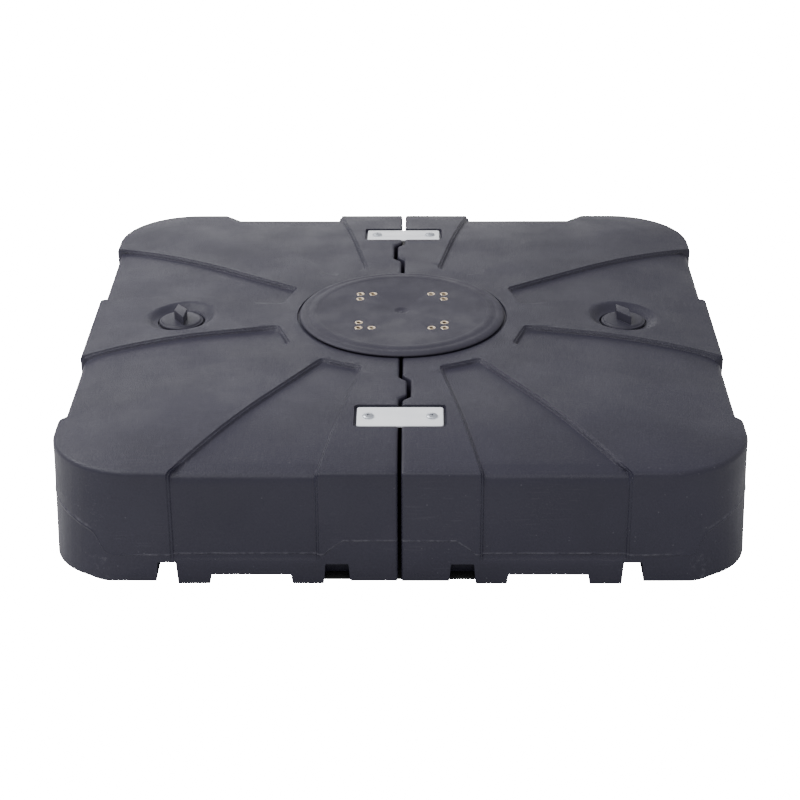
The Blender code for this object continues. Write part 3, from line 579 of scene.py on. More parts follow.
def plate_paint():
    """White powder coat: a little orange peel, grey rub marks and fine dirt."""
    material, sh, shader = new_material("plate_paint_finish")
    here = sh.here()
    tone = sh.effect("resin_tone", {"Colour": (0.93, 0.95, 0.98, 1), "Shade": (0.88, 0.90, 0.94, 1),
                                    "Scale": 22.0})
    dirt = sh.effect("dust_specks", {"Scale": 420.0, "Share": 0.06, "Size": 0.2})
    scratches = sh.effect("fine_scratches", {"Scale": 90.0, "Share": 0.35})
    marks = sh.calc("ADD", sh.calc("MULTIPLY", dirt, 0.3), sh.calc("MULTIPLY", scratches, 0.14))
    sh.feed(shader["Base Color"], sh.blend(marks, tone, (0.42, 0.43, 0.45, 1)))
    sh.feed(shader["Roughness"], sh.spread(sh.cloud(here, 60.0), 0.3, 0.7, 0.30, 0.42))
    sh.feed(shader["Normal"], bump(sh, sh.cloud(here, 650.0, 2.0), 0.00005))
    return material


def make_finishes():
    for make_effect in (make_leather_grain, make_resin_tone, make_dust_specks, make_fine_scratches,
                        make_rubbed_edge):
        make_effect()
    return {
        "tank_plastic": tank_plastic(),
        "hub_plastic": grained_plastic("hub_plastic_finish", (0.0330, 0.0312, 0.0465),
                                       (0.0285, 0.0268, 0.0405), 0.52, 620.0, 0.00022),
        "cap_plastic": grained_plastic("cap_plastic_finish", (0.0300, 0.0285, 0.0430),
                                       (0.0250, 0.0238, 0.0360), 0.40, 900.0, 0.00006),
        "seal_rubber": seal_rubber(),
        # the third colour of each metal is the painted shade of its bores and slots
        "insert_brass": metal("insert_brass_finish", (0.83, 0.70, 0.52), (0.55, 0.40, 0.26),
                              (0.10, 0.06, 0.03), 0.32, 300.0),
        "zinc_steel": metal("zinc_steel_finish", (0.62, 0.65, 0.70), (0.38, 0.40, 0.44),
                            (0.13, 0.14, 0.17), 0.34, 260.0),
        "plate_paint": plate_paint(),
    }


# ---------------------------------------------------------------- tank form

def outline_distance(x, y):
    """Distance in from the rounded square outline, and the outward direction there."""
    qx = abs(x) - (HALF - CORNER_R)
    qy = abs(y) - (HALF - CORNER_R)
    sx = math.copysign(1, x)
    sy = math.copysign(1, y)
    if qx > 0 and qy > 0:
        length = math.hypot(qx, qy)
        return CORNER_R - length, Vector((sx * qx / length, sy * qy / length, 0))
    if qx > qy:
        return CORNER_R - qx, Vector((sx, 0, 0))
    return CORNER_R - qy, Vector((0, sy, 0))


def inside(border, x, y):
    (ax, ay), (bx, by) = border
    return ((bx - ax) * (y - ay) - (by - ay) * (x - ax)) / math.hypot(bx - ax, by - ay)


def panel_reach(x, y):
    """How far a point lies inside the nearest sunk panel; negative on the ribs."""
    x, y = abs(x), abs(y)
    reaches = []
    for panel in (SIDE_PANEL, END_PANEL):
        a, b, c = (inside(border, x, y) for border in panel)
        reaches.append(soft_min(soft_min(a, b, PANEL_CORNER), c, PANEL_CORNER))
    return max(reaches)


def panel_share(x, y):
    """0 on the ribs, 1 on the floor of a panel, with a narrow ledge half way down its wall."""
    t = (panel_reach(x, y) + WALL_EASE) / (WALL_RUN + 2 * WALL_EASE)
    return sum(fall * smooth((t - start) / (end - start)) for start, end, fall in WALL_STEPS)


def strip(value, low, high):
    return smooth(min(value - low, high - value) / FOOT_RUN)


def floor_height(x, y):
    """Height of the underside over the ground."""
    x, y = abs(x), abs(y)
    on_rail = max(strip(x, low - FOOT_RUN, high + FOOT_RUN) for low, high in RAILS)
    height = RECESS_Z if RAILS[0][1] <= x <= RAILS[1][0] else BODY_FLOOR_Z
    height *= 1 - on_rail
    height += (CHANNEL_Z - height) * strip(x, *CHANNEL)
    pocket = strip(x, *END_POCKET) * smooth((y - (HALF - END_POCKET_DEPTH)) / FOOT_RUN)
    height += (END_POCKET_Z - height) * pocket
    low, high = CORNER_LIFT_X
    return height + CORNER_LIFT * smooth((x - low) / (high - low))


def flash_height(x, y):
    """Height of the mould's parting line round the walls."""
    x = abs(x)
    on_rib = 1 - smooth((x - 0.084) / 0.027)
    round_corner = smooth((x - 0.388) / 0.040)
    climb = ramp((x - 0.425) / 0.070)
    height = FLASH_Z + (FLASH_RIB_Z - FLASH_Z) * on_rib
    height += (FLASH_CORNER_Z - FLASH_Z) * round_corner + (FLASH_SIDE_Z - FLASH_CORNER_Z) * climb
    return height + 0.0006 * noise.noise(Vector((x * 60, y * 60, 3)))


def crown_drop(distance):
    return CROWN_DROP * ramp(1 - distance / SHOULDER) ** 2


def lean(z):
    """0 under the rim, 1 at the floor."""
    return ramp(1 - z / RIM_LOW_Z)


def corner_slide(x, y, outward):
    """How far a point of a corner moves to lie on the tighter corner of the floor."""
    if outward.x * outward.y == 0:
        return Vector()
    return (Vector((math.copysign(1, x), math.copysign(1, y), 0)) - outward) * (CORNER_R - CORNER_FOOT_R)


def on_foot(z):
    return 1 - smooth((z - LEDGE_Z) / LEDGE_FALL)


def on_side_wall(outward):
    """0 on the front and rear walls, 1 on the side walls."""
    return smooth((abs(outward.x) - 0.1) / 0.8)


def wall_inset(x, y, z, outward, share):
    """How far the wall stands back from the plain outline at a height, before the parting line."""
    share *= 1 - on_foot(z) * (1 - on_side_wall(outward))
    inset = share * PANEL_SIDE_DEPTH + TAPER * lean(z)
    wave = 1 + noise.noise(Vector((x * 9, y * 9, z * 9)))
    return inset + 0.0005 * wave * ramp((RIM_LOW_Z - z) / 0.02)


def dished(x, y, height):
    """The soft dish round a filler cap, sunk in the top."""
    from_cap = math.hypot(x + CAP_X, y)
    floor = DISH_FLOOR_Z + DISH_LEAN * (x + CAP_X)
    share = 1 - smooth((from_cap - DISH_FLOOR_R) / (DISH_R - DISH_FLOOR_R))
    return height - max(height - floor, 0) * share


def tank_point(point):
    """Where a point of the plain rounded prism lies on the moulding."""
    x, y, z = point
    distance, outward = outline_distance(x, y)
    share = panel_share(x, y)
    near_edge = 1 - ramp(distance / EDGE_BAND)
    near_foot = 1 - ramp(distance / FOOT_BAND)
    upper = smooth((z - TOP_FADE_Z) / (PLATEAU_Z - TOP_FADE_Z - RIM_R))
    height = z - (crown_drop(distance) + PANEL_DEPTH * share) * upper
    height -= 0.0003 * (1 + noise.noise(Vector((x * 7, y * 7, 5)))) * ramp((z - PLATEAU_Z + RIM_R) / RIM_R)
    follow = ramp(z / FLASH_Z) if z < FLASH_Z else 1 - smooth((z - FLASH_Z) / 0.09)
    height += (flash_height(x, y) - FLASH_Z) * follow * near_edge
    if z < SKIRT_Z:
        height += floor_height(x, y) * (1 - z / SKIRT_Z)
    if z > PLATEAU_Z - RIM_R:
        height = dished(x, y, height)
    inset = wall_inset(x, y, height, outward, share) * near_edge
    over = ramp((z - PLATEAU_Z + PANEL_RIM_Z) / PANEL_RIM_Z)
    inset += PANEL_RIM * share * (1 - math.sqrt(1 - over ** 2)) * near_edge
    rise = SIDE_FOOT_R - min(max(height, 0), SIDE_FOOT_R)
    rounding = SIDE_FOOT_R - math.sqrt(SIDE_FOOT_R ** 2 - rise ** 2)
    inset += rounding * on_side_wall(outward) * near_foot
    broken = 0.5 + 0.8 * abs(noise.noise(Vector((x * 35, y * 35, 1))))
    inset -= FLASH_PROUD * bell(z - FLASH_Z, FLASH_HALF) * broken * near_edge
    slide = corner_slide(x, y, outward) * lean(height) * near_edge
    return Vector((x, y, height)) + slide - outward * max(inset, 0)


def tank_outline():
    """Plan outline of the left tank, anticlockwise from the front end of its split."""
    notch_x = -TONGUE_X - TONGUE_CLEARANCE
    tip = TONGUE_HALF - (TONGUE_X - SPLIT_X)
    mouth = TONGUE_HALF + TONGUE_CLEARANCE
    root = mouth - (SPLIT_X - notch_x)
    quarter = math.pi / 2
    centre = HALF - CORNER_R
    points = [(SPLIT_X, -HALF), (SPLIT_X, -TONGUE_Y - TONGUE_HALF), (TONGUE_X, -TONGUE_Y - tip),
              (TONGUE_X, -TONGUE_Y + tip), (SPLIT_X, -TONGUE_Y + TONGUE_HALF), (SPLIT_X, -HUB_GAP),
              (-HUB_GAP, -HUB_GAP), (-HUB_GAP, HUB_GAP), (SPLIT_X, HUB_GAP), (SPLIT_X, TONGUE_Y - mouth),
              (notch_x, TONGUE_Y - root), (notch_x, TONGUE_Y + root), (SPLIT_X, TONGUE_Y + mouth),
              (SPLIT_X, HALF)]
    points += arc((-centre, centre), CORNER_R, quarter, 2 * quarter, 22)
    points += arc((-centre, -centre), CORNER_R, 2 * quarter, 3 * quarter, 22)
    return points


def rounded_block():
    """The plain prism over the tank's outline, its edges rounded by their own shares of the rim's radius."""
    bm = prism(tank_outline(), 0, PLATEAU_Z)
    weight = bm.edges.layers.float.new("bevel_weight_edge")
    for edge in bm.edges:
        a, b = (v.co for v in edge.verts)
        middle = (a + b) / 2
        if abs(a.z - b.z) > 0.1:
            on_split = middle.x > -2 * TONGUE_X and abs(middle.y) > HUB_GAP + 0.01
            edge[weight] = UPRIGHT_SHARE if on_split else 0
        elif middle.z < 0.001:
            edge[weight] = FLOOR_EDGE_SHARE
        else:
            outer = outline_distance(middle.x, middle.y)[0] < 0.001
            edge[weight] = 1 if outer else SPLIT_EDGE_SHARE
    obj = mesh_object("rounded_block", bm)
    bevel = obj.modifiers.new("rounding", "BEVEL")
    bevel.limit_method = "WEIGHT"
    bevel.width = RIM_R
    bevel.segments = 5
    apply_modifiers(obj)
    bm = bmesh.new()
    bm.from_mesh(obj.data)
    bpy.data.objects.remove(obj)
    return bm


def slice_block(bm, point, normal, side=0, near=None):
    """Adds an edge line where a plane cuts the block, in its rear half (side 1), its front half (-1) or both.

    With a distance for near, only the top close round the filler cap is cut.
    """
    faces = [f for f in bm.faces if side * f.calc_center_bounds().y >= -1e-6]
    if near:
        cap = Vector((-CAP_X, 0, PLATEAU_Z))
        faces = [f for f in faces if (f.calc_center_bounds() - cap).length < near]
    edges = {e for f in faces for e in f.edges}
    verts = {v for f in faces for v in f.verts}
    bmesh.ops.bisect_plane(bm, geom=faces + list(edges) + list(verts), dist=1e-6, plane_co=point,
                           plane_no=normal)


def slice_tank(bm):
    """Edge lines for the form: a wide grid, and fine lines where walls, feet and the parting line rise."""
    for i in range(-24, 25):
        slice_block(bm, (0, i * HALF / 25, 0), (0, 1, 0))
    for i in range(1, 25):
        slice_block(bm, (-i * HALF / 25, 0, 0), (1, 0, 0))
    levels = [0.002, 0.004, 0.007, 0.011, 0.016, 0.022, 0.0275, LEDGE_Z - 0.002, LEDGE_Z,
              LEDGE_Z + 0.002, LEDGE_Z + 0.004, 0.040, 0.042, SKIRT_Z, TOP_FADE_Z, 0.095, 0.110, 0.130,
              0.150, 0.170]
    levels += [PLATEAU_Z - share * PANEL_RIM_Z for share in (1, 0.85, 0.7, 0.55, 0.42)]
    levels += [FLASH_Z + share * FLASH_HALF for share in (-3, -2, -1, 0, 1, 2, 3, 10)]
    for level in levels:
        slice_block(bm, (0, 0, level), (0, 0, 1))
    for foot_edge, way in ((RAILS[0][0], -1), (RAILS[0][1], 1), (RAILS[1][0], -1), (CHANNEL[0], 1),
                           (CHANNEL[1], -1), (END_POCKET[0], 1), (END_POCKET[1], -1)):
        for share in (0, 0.25, 0.5, 0.75, 1):
            slice_block(bm, (-foot_edge - way * share * FOOT_RUN, 0, 0), (1, 0, 0))
    for side in (1, -1):
        for share in (0, 0.33, 0.67, 1):
            slice_block(bm, (0, side * (HALF - END_POCKET_DEPTH + share * FOOT_RUN), 0), (0, 1, 0), side)
    for panel in (SIDE_PANEL, END_PANEL):
        for (ax, ay), (bx, by) in panel:
            length = math.hypot(bx - ax, by - ay)
            nx, ny = -(by - ay) / length, (bx - ax) / length
            for step in (0, 0.08, 0.19, 0.30, 0.38, 0.49, 0.60, 0.68, 0.80, 0.92, 1, 1.2):
                run = -WALL_EASE + step * (WALL_RUN + 2 * WALL_EASE)
                for side in (1, -1):
                    slice_block(bm, (-ax - nx * run, side * (ay + ny * run), 0), (-nx, side * ny, 0), side)
    for i in range(-14, 15):
        slice_block(bm, (-CAP_X + i * 0.0045, 0, 0), (1, 0, 0), near=0.075)
        slice_block(bm, (0, i * 0.0045, 0), (0, 1, 0), near=0.075)


def seat_cutter():
    """Seal seat and neck of the filler opening."""
    brim = DISH_FLOOR_Z + DISH_LEAN * SEAT_R
    profile = [(0, SEAT_Z - 0.060), (NECK_R, SEAT_Z - 0.060), (NECK_R, SEAT_Z), (SEAT_R, SEAT_Z),
               (SEAT_R, brim - 0.0012), (SEAT_R + 0.0012, brim + 0.0004), (0, brim + 0.0004)]
    return turned(profile, ROUND, (-CAP_X, 0, 0))


def shadow_groove():
    """Shallow groove in the tanks under the edge of the hub's disc."""
    profile = [(DISC_R - 0.004, PLATEAU_Z - 0.003), (DISC_R + 0.003, PLATEAU_Z - 0.003),
               (DISC_R + 0.0045, PLATEAU_Z + 0.001), (DISC_R - 0.004, PLATEAU_Z + 0.001)]
    return turned(profile, 192)


def tie_frame(side, x=0):
    """The frame of a tie's pocket, with its floor at zero height."""
    return (Matrix.Translation((0, side * TIE_Y, TIE_Z)) @ Matrix.Rotation(-side * TIE_TILT, 4, "X")
            @ Matrix.Translation((x, 0, 0)))


def pocket_cutter(side):
    outline = rounded_rectangle(TIE_HALF_X + POCKET_CLEARANCE, TIE_HALF_Y + POCKET_CLEARANCE, POCKET_R)
    bm = prism(outline, 0, POCKET_TOP)
    top = [v for v in bm.verts if v.co.z > 0]
    bmesh.ops.scale(bm, verts=top, vec=(1.03, 1.06, 1))
    return moved(bm, tie_frame(side))


def mark_tank(tank):
    """Stores where the parting line, the wear and the grain lie, for the finish to read."""
    mesh = tank.data
    layers = {name: mesh.attributes.new(name, "FLOAT", "POINT").data
              for name in ("flash", "wear", "grain", "ledge")}
    for index, vert in enumerate(mesh.vertices):
        x, y, z = vert.co
        distance = outline_distance(x, y)[0]
        on_wall = 1 - smooth((distance - 0.012) / 0.006)
        top = ramp((vert.normal.z - 0.15) / 0.5)
        rim = bell(z - (PLATEAU_Z - CROWN_DROP - RIM_R / 2), 0.006) * on_wall
        heel = bell(abs(x) - 0.425, 0.022) * (1 - smooth((z - 0.040) / 0.020)) * on_wall
        layers["flash"][index].value = bell(z - flash_height(x, y), 1.3 * FLASH_HALF) * on_wall
        layers["wear"][index].value = ramp(0.3 * rim + 0.55 * heel)
        layers["grain"][index].value = 0.25 + 0.75 * top
        layers["ledge"][index].value = bell(panel_reach(x, y) - WALL_RUN / 2, WALL_RUN / 2) * (1 - on_wall)


def build_left_tank():
    bm = rounded_block()
    slice_tank(bm)
    for vert in bm.verts:
        vert.co = tank_point(vert.co)
    bmesh.ops.remove_doubles(bm, verts=bm.verts[:], dist=1e-5)
    bmesh.ops.recalc_face_normals(bm, faces=bm.faces[:])
    tank = mesh_object("left_tank_shell", bm)
    cut_away(tank, seat_cutter())
    cut_away(tank, shadow_groove())
    for side in (1, -1):
        cut_away(tank, pocket_cutter(side))
    cut_away(tank, turned(rod(RECESS_R, -0.01, RETAINER_HIGH.z + 2 * GAP)))
    join_on(tank, moved(thread_ridge(NECK_R + THREAD_SINK, NECK_THREAD_R, NECK_THREAD_Z, 0),
                        Matrix.Translation((-CAP_X, 0, 0))))
    return tank


def build_tanks():
    left = build_left_tank()
    right = bpy.data.objects.new("right_tank_shell", left.data.copy())
    bpy.context.scene.collection.objects.link(right)
    right.data.transform(Matrix.Rotation(math.pi, 4, "Z"))
    for tank, node in ((left, "left_tank"), (right, "right_tank")):
        mark_tank(tank)
        place(tank, "base", "tank_plastic", node)


# ---------------------------------------------------------------- mounting hub and its clamp

def middle_of(node):
    low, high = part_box(node)
    return (low + high) / 2


def disc_profile():
    """The disc from its underside: upright edge, soft rim with a shallow valley, crest, flat and dimple."""
    base = PLATEAU_Z + GAP
    flat = DISC_TOP - 0.0007
    points = [(0, base), (DISC_R - 0.0008, base), (DISC_R, base + 0.0006), (DISC_R, base + 0.0014)]
    for inward, fall in ((0.0003, 0.0052), (0.0010, 0.0043), (0.0022, 0.0034), (0.0040, 0.0026),
                         (0.0060, 0.0020), (0.0080, 0.0016), (0.0100, 0.0015), (0.0120, 0.0016),
                         (0.0140, 0.0015), (0.0160, 0.0011), (0.0180, 0.0006), (0.0200, 0.0002), (0.0220, 0),
                         (0.0245, 0), (0.0268, 0.0002), (0.0284, 0.0005), (0.0300, 0.0007)):
        points.append((DISC_R - inward, DISC_TOP - fall))
    points += [(0.0125, flat), (0.0113, flat - 0.0003), (0.0100, flat - 0.0010), (0.0080, flat - 0.0020),
               (0.0055, flat - 0.0026), (0.0030, flat - 0.0027), (0.0016, flat - 0.0022), (0, flat - 0.0018)]
    return points


def build_hub():
    hub = mesh_object("mount_hub_moulding", turned(disc_profile(), 192))
    foot = HUB_LOW.z
    join_on(hub, prism(rounded_rectangle(CORE_HALF, CORE_HALF, CORE_R), foot, PLATEAU_Z + 0.002))
    inner = CORE_HALF - CORE_WALL
    hollow = rounded_rectangle(inner, inner, CORE_R - CORE_WALL)
    cut_away(hub, prism(hollow, foot - 0.01, DISC_TOP - HUB_PLATE))
    for sx in (1, -1):
        for sy in (1, -1):
            centre = (sx * BOLT_XY, sy * BOLT_XY, 0)
            join_on(hub, turned(rod(BOSS_R, foot, DISC_TOP - HUB_PLATE / 2), SMALL_ROUND, centre))
            cut_away(hub, turned(rod(BUSH_HOLE_R, foot - 0.01, BUSH_HOLE_HIGH), SMALL_ROUND, centre))
    for node in INSERT_NODES:
        low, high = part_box(node)
        centre = ((low.x + high.x) / 2, (low.y + high.y) / 2, 0)
        r = (high.x - low.x) / 2 + GAP
        face = high.z + 0.0001
        hole = [(0, low.z - 0.003), (r, low.z - 0.003), (r, face), (r + 0.0009, DISC_TOP), (0, DISC_TOP)]
        cut_away(hub, turned(hole, SMALL_ROUND, centre))
    place(hub, "base", "hub_plastic", "mount_hub")


def threaded_bore(radius, pitch, low, high):
    """Profile points of a threaded bore, downwards."""
    points = []
    for i in range(int((high - low) / pitch)):
        top = high - i * pitch
        points += [(radius, top), (radius + 0.4 * pitch, top - pitch / 2)]
    return points


def build_inserts():
    """Brass inserts: a flanged face with a chamfered, threaded bore, and grooves that grip the disc."""
    for node in INSERT_NODES:
        low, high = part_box(node)
        r = (high.x - low.x) / 2
        bore = INSERT_BORE_R
        profile = [(bore + 0.0004, low.z), (r - 0.0008, low.z), (r - 0.0004, low.z + 0.0005)]
        for share in (0.25, 0.5, 0.75):
            groove = low.z + share * (high.z - low.z)
            profile += [(r - 0.0004, groove - 0.0012), (r - 0.0012, groove - 0.0007),
                        (r - 0.0012, groove + 0.0007), (r - 0.0004, groove + 0.0012)]
        profile += [(r - 0.0004, high.z - 0.0016), (r, high.z - 0.0014), (r, high.z - 0.0004),
                    (r - 0.0003, high.z - 0.0001), (r - 0.0006, high.z), (bore + 0.0012, high.z),
                    (bore + 0.0009, high.z - 0.0001)]
        profile += threaded_bore(bore, INSERT_PITCH, low.z + 0.001, high.z - 0.0009)
        centre = middle_of(node)
        insert = mesh_object(f"{node}_turned", turned(profile, SMALL_ROUND))
        mark_recess_shade(insert, high.z - 0.0002, r - 0.002)
        insert.data.transform(Matrix.Translation((centre.x, centre.y, 0)))
        place(insert, "base", "insert_brass", node)


def build_retainer():
    """The steel clamping ring with its eased edges, and its hexagon bolts, washers and bushes."""
    low, high = RETAINER_LOW, RETAINER_HIGH
    ring = mesh_object("hub_retainer_ring", turned([(RETAINER_BORE_R, low.z), (high.x, low.z), (high.x, high.z),
                                                    (RETAINER_BORE_R, high.z)], 128))
    for number in range(1, 5):
        centre = middle_of(f"retainer_bolt_{number}")
        cut_away(ring, turned(rod(BOLT_HOLE_R, low.z - 0.01, high.z + 0.01), SMALL_ROUND,
                              (centre.x, centre.y, 0)))
    ease_edges(ring, 0.0006)
    place(ring, "base", "zinc_steel", "hub_retainer_plate")
    for number in range(1, 5):
        build_bolt(f"retainer_bolt_{number}")
        build_washer(f"retainer_washer_{number}")
        build_bush(f"retainer_bush_{number}", Matrix.Identity(4), *RETAINER_BUSH)


def build_bolt(node):
    low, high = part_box(node)
    centre = middle_of(node)
    seat = low.z + BOLT_HEAD_HEIGHT
    corner_r = BOLT_HALF_FLATS / math.cos(math.pi / 6)
    bolt = mesh_object(f"{node}_forged", prism(arc((0, 0), corner_r, 0, math.pi * 5 / 3, 5), low.z, seat))
    trim = [(0, low.z), (0.0076, low.z), (corner_r, low.z + 0.0009), (corner_r + 0.001, low.z + 0.002),
            (corner_r + 0.001, seat), (0, seat)]
    combine(bolt, turned(trim, SMALL_ROUND), "INTERSECT")
    shank = [(0, seat - 0.001), (BOLT_R, seat - 0.001), (BOLT_R, seat + 0.008)]
    for i in range(int((high.z - seat - 0.010) / BOLT_PITCH)):
        shank += [(BOLT_ROOT_R, seat + 0.0085 + i * BOLT_PITCH),
                  (BOLT_R, seat + 0.0085 + (i + 0.5) * BOLT_PITCH)]
    shank += [(0.0040, high.z), (0, high.z)]
    join_on(bolt, turned(shank, SMALL_ROUND))
    bolt.data.transform(Matrix.Translation((centre.x, centre.y, 0)))
    place(bolt, "base", "zinc_steel", node)


def build_washer(node):
    low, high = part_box(node)
    centre = middle_of(node)
    r = (high.x - low.x) / 2
    ease = 0.0003
    profile = [(BOLT_HOLE_R, low.z), (r - ease, low.z), (r, low.z + ease), (r, high.z - ease),
               (r - ease, high.z), (BOLT_HOLE_R, high.z)]
    washer = mesh_object(f"{node}_stamped", turned(profile, SMALL_ROUND, (centre.x, centre.y, 0)))
    place(washer, "base", "zinc_steel", node)


def build_bush(node, tilt, half, bore):
    """A brass bush with grooves round it and a plain bore, its thread left out, upright or tilted like its
    screw.
    """
    profile = [(bore, -half), (BUSH_END_R, -half), (BUSH_R, -half + 0.0005)]
    for share in (-0.5, 0, 0.5):
        groove = share * half
        profile += [(BUSH_R, groove - 0.0012), (BUSH_GROOVE_R, groove - 0.0006),
                    (BUSH_GROOVE_R, groove + 0.0006), (BUSH_R, groove + 0.0012)]
    profile += [(BUSH_R, half - 0.0005), (BUSH_END_R, half), (bore, half)]
    seat_frame = Matrix.Translation(middle_of(node)) @ tilt
    bush = mesh_object(f"{node}_turned", moved(turned(profile, SMALL_ROUND), seat_frame))
    place(bush, "base", "insert_brass", node)


# ---------------------------------------------------------------- tie plates and their screws

def build_ties():
    for end, side in (("front", -1), ("rear", 1)):
        plate = mesh_object(f"{end}_tie_plate_painted",
                            prism(rounded_rectangle(TIE_HALF_X, TIE_HALF_Y, TIE_CORNER_R), GAP, GAP + TIE_THICK))
        for x in (-TIE_SCREW_X, TIE_SCREW_X):
            cut_away(plate, turned(rod(TIE_HOLE_R, -0.01, 0.01), SMALL_ROUND, (x, 0, 0)))
        ease_edges(plate, 0.0007, 3)
        plate.data.transform(tie_frame(side))
        place(plate, "base", "plate_paint", f"{end}_tie_plate")
        tilt = Matrix.Rotation(-side * TIE_TILT, 4, "X")
        for name, way in (("left", -1), ("right", 1)):
            build_tie_screw(f"{end}_{name}_tie_screw", tie_frame(side, way * TIE_SCREW_X), 0.4 * side * way)
            build_bush(f"{end}_{name}_tie_bush", tilt, *TIE_BUSH)


def build_tie_screw(node, seat_frame, turn):
    """A pan-head screw: domed head with a tapered cross recess, and a threaded shank."""
    seat = TIE_THICK + 2 * GAP
    top = seat + HEAD_HEIGHT
    tip = seat - SCREW_LENGTH
    profile = [(0, tip), (SCREW_R - 0.0010, tip), (SCREW_R - 0.0006, tip + 0.0006)]
    for i in range(9):
        rise = tip + 0.0012 + i * SCREW_PITCH
        profile += [(SCREW_R, rise), (SCREW_R - 0.0007, rise + SCREW_PITCH / 2)]
    profile += [(SCREW_R, seat - 0.002), (SCREW_R, seat), (HEAD_R - 0.0003, seat), (HEAD_R, seat + 0.0003),
                (HEAD_R, seat + 0.0010)]
    for i in range(1, 9):
        angle = math.pi / 2 * i / 8
        profile.append((HEAD_R * math.cos(angle), seat + 0.0010 + (top - seat - 0.0010) * math.sin(angle)))
    screw = mesh_object(f"{node}_headed", turned(profile, 56))
    for quarter in (0, 1):
        slot = prism(rounded_rectangle(0.0041, 0.0009, 0.0005, 3), top - 0.0024, top + 0.001)
        floor = [v for v in slot.verts if v.co.z < top - 0.001]
        bmesh.ops.scale(slot, verts=floor, vec=(0.45, 0.7, 1))
        cut_away(screw, moved(slot, Matrix.Rotation(turn + math.pi / 4 + quarter * math.pi / 2, 4, "Z")))
    mark_recess_shade(screw, top - 0.0006, 0.0044)
    screw.data.transform(seat_frame)
    place(screw, "base", "zinc_steel", node)


# ---------------------------------------------------------------- filler caps and seals

def cap_profile():
    """Cap from the middle of its hollow stem, out round its flange and lip, and in over its low dome."""
    hollow = STEM_R - STEM_WALL
    low = CAP_LOW.z
    return [(0, FLANGE_Z + 0.0018), (hollow - 0.001, FLANGE_Z + 0.0018), (hollow, FLANGE_Z + 0.0008),
            (hollow, low + 0.0006), (hollow + 0.0006, low), (STEM_R - 0.0008, low), (STEM_R, low + 0.0008),
            (STEM_R, FLANGE_Z), (CAP_R - 0.0004, FLANGE_Z), (CAP_R, FLANGE_Z + 0.0004),
            (CAP_R, CAP_FACE - 0.0030), (CAP_R - 0.0003, CAP_FACE - 0.0024),
            (CAP_R - 0.0010, CAP_FACE - 0.0020), (CAP_R - 0.0026, CAP_FACE - 0.0018),
            (CAP_R - 0.0031, CAP_FACE - 0.0014), (CAP_R - 0.0035, CAP_FACE - 0.0006),
            (CAP_R - 0.0044, CAP_FACE), (CAP_R - 0.0070, CAP_FACE + 0.0004),
            (CAP_R / 2, CAP_FACE + 0.0008), (0, CAP_FACE + 0.0010)]


def seal_profile():
    """A flat ring with eased edges."""
    r_in, r_out = SEAL_IN_R, (SEAL_HIGH.x - SEAL_LOW.x) / 2
    ease = SEAL_EASE
    return [(r_in + ease, SEAL_LOW.z), (r_out - ease, SEAL_LOW.z), (r_out, SEAL_LOW.z + ease),
            (r_out, SEAL_HIGH.z - ease), (r_out - ease, SEAL_HIGH.z), (r_in + ease, SEAL_HIGH.z),
            (r_in, SEAL_HIGH.z - ease), (r_in, SEAL_LOW.z + ease)]


def grip_bar(turn):
    """The finger bar that stands on a cap, widest near its middle, with its edges eased."""
    corners = [(GRIP_LENGTH / 2, 0), (GRIP_WIDEST, GRIP_WIDTH / 2), (-GRIP_LENGTH / 2, 0),
               (GRIP_WIDEST, -GRIP_WIDTH / 2)]
    bar = mesh_object("bar", prism(corners, CAP_FACE - 0.003, CAP_HIGH.z))
    ease_edges(bar, 0.0008, 3)
    bm = bmesh.new()
    bm.from_mesh(bar.data)
    bpy.data.objects.remove(bar)
    return moved(bm, Matrix.Rotation(turn, 4, "Z"))


def build_caps():
    for side, way, start in (("left", -1, 0), ("right", 1, math.pi)):
        cap = mesh_object(f"{side}_filler_cap_moulding", turned(cap_profile()))
        join_on(cap, grip_bar(GRIP_TURN[side]))
        join_on(cap, thread_ridge(STEM_R - THREAD_SINK, STEM_THREAD_R, STEM_THREAD_Z, start))
        cap.data.transform(Matrix.Translation((way * CAP_X, 0, 0)))
        place(cap, f"{side}_cap", "cap_plastic", f"{side}_filler_cap")
        seal = mesh_object(f"{side}_cap_seal_ring", turned(seal_profile(), ROUND, (way * CAP_X, 0, 0)))
        place(seal, f"{side}_seal", "seal_rubber", f"{side}_cap_seal")


# ---------------------------------------------------------------- studio

def look_camera():
    camera = bpy.data.objects.new("camera", bpy.data.cameras.new("camera"))
    bpy.context.scene.collection.objects.link(camera)
    yaw, pitch, roll = CAMERA_TURN
    forward = Vector((math.sin(yaw) * math.cos(pitch), math.cos(yaw) * math.cos(pitch), -math.sin(pitch)))
    right = Vector((math.cos(yaw), -math.sin(yaw), 0))
    up = right.cross(forward)
    turned_right = right * math.cos(roll) + up * math.sin(roll)
    turned_up = up * math.cos(roll) - right * math.sin(roll)
    axes = Matrix((turned_right, turned_up, -forward)).transposed()
    camera.matrix_world = Matrix.Translation(CAMERA_PLACE) @ axes.to_4x4()
    camera.data.lens = CAMERA_LENS
    camera.data.sensor_width = 36
    bpy.context.scene.camera = camera


def area_light(name, place_at, target, size, power):
    lamp = bpy.data.lights.new(name, "AREA")
    lamp.shape = "RECTANGLE"
    lamp.size, lamp.size_y = size
    lamp.energy = power
    obj = bpy.data.objects.new(name, lamp)
    bpy.context.scene.collection.objects.link(obj)
    obj.location = place_at
    obj.rotation_euler = (Vector(target) - Vector(place_at)).to_track_quat("-Z", "Y").to_euler()


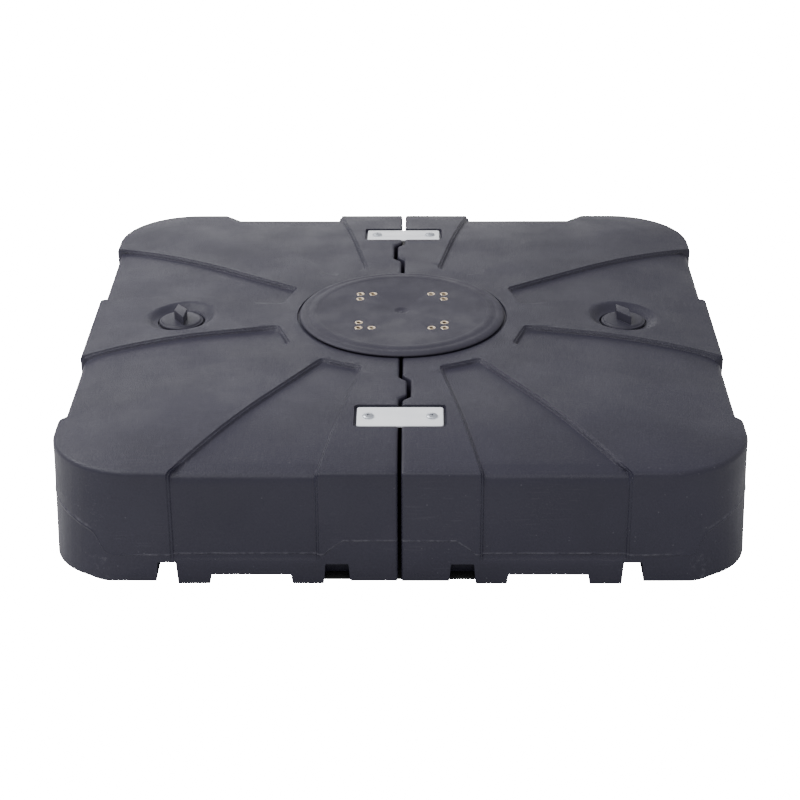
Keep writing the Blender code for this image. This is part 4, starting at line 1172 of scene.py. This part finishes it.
def studio_floor():
    """A pale floor that glows to the camera, with painted shadow under the middle of the base and in a strip
    along its split.

    The strip runs on behind the base.
    """
    bm = bmesh.new()
    bmesh.ops.create_grid(bm, x_segments=1, y_segments=1, size=14)
    floor = mesh_object("studio_floor", bm)
    material, sh, shader = new_material("studio_floor_paint")
    paint = sh.spread(sh.cloud(sh.here(), 3.0), 0.3, 0.7, 0.74, 0.76)
    shader["Roughness"].default_value = 0.9
    shader["Emission Color"].default_value = (1, 1, 1, 1)
    seen = sh.add("LightPath").outputs["Is Camera Ray"]
    spot = sh.add("SeparateXYZ", {"Vector": sh.here()}).outputs
    aside = sh.calc("ABSOLUTE", spot[0])
    under = sh.calc("MULTIPLY", sh.calc("LESS_THAN", aside, SHADE_HALF_X),
                    sh.calc("LESS_THAN", sh.calc("ABSOLUTE", spot[1]), HALF - SHADE_INSET))
    along = sh.calc("ABSOLUTE", sh.calc("SUBTRACT", spot[1], SPLIT_SHADE_Y))
    split = sh.calc("MULTIPLY", sh.calc("LESS_THAN", aside, SPLIT_SHADE_HALF),
                    sh.calc("LESS_THAN", along, SPLIT_SHADE_REACH))
    # painted shadow: under the base and along its split the floor gets no glow and is painted near black
    lit = sh.calc("SUBTRACT", 1.0, sh.calc("MAXIMUM", under, split))
    sh.feed(shader["Base Color"], sh.calc("MULTIPLY", paint, sh.spread(lit, 0.0, 1.0, 0.05, 1.0)))
    sh.feed(shader["Emission Strength"], sh.calc("MULTIPLY", sh.calc("MULTIPLY", seen, lit), FLOOR_GLOW))
    floor.data.materials.append(material)


def studio():
    studio_floor()
    world = bpy.data.worlds.new("studio_air")
    bpy.context.scene.world = world
    world.use_nodes = True
    background = world.node_tree.nodes["Background"]
    background.inputs["Color"].default_value = (0.98, 0.98, 1, 1)
    background.inputs["Strength"].default_value = 0.75
    area_light("left_soft_light", (-1.7, 0.3, 2.1), (0, 0, 0.15), (1.4, 1.4), 52)
    area_light("rear_low_soft_light", (-0.8, 3.4, 1.2), (0, 0, 0.15), (2.5, 0.8), 11)
    area_light("front_rim_light", (-0.5, -1.7, 2.4), (0, -0.5, 0.15), (2.2, 0.3), 26)


finishes = make_finishes()
look_camera()
build_tanks()
build_hub()
build_inserts()
build_retainer()
build_ties()
build_caps()
studio()
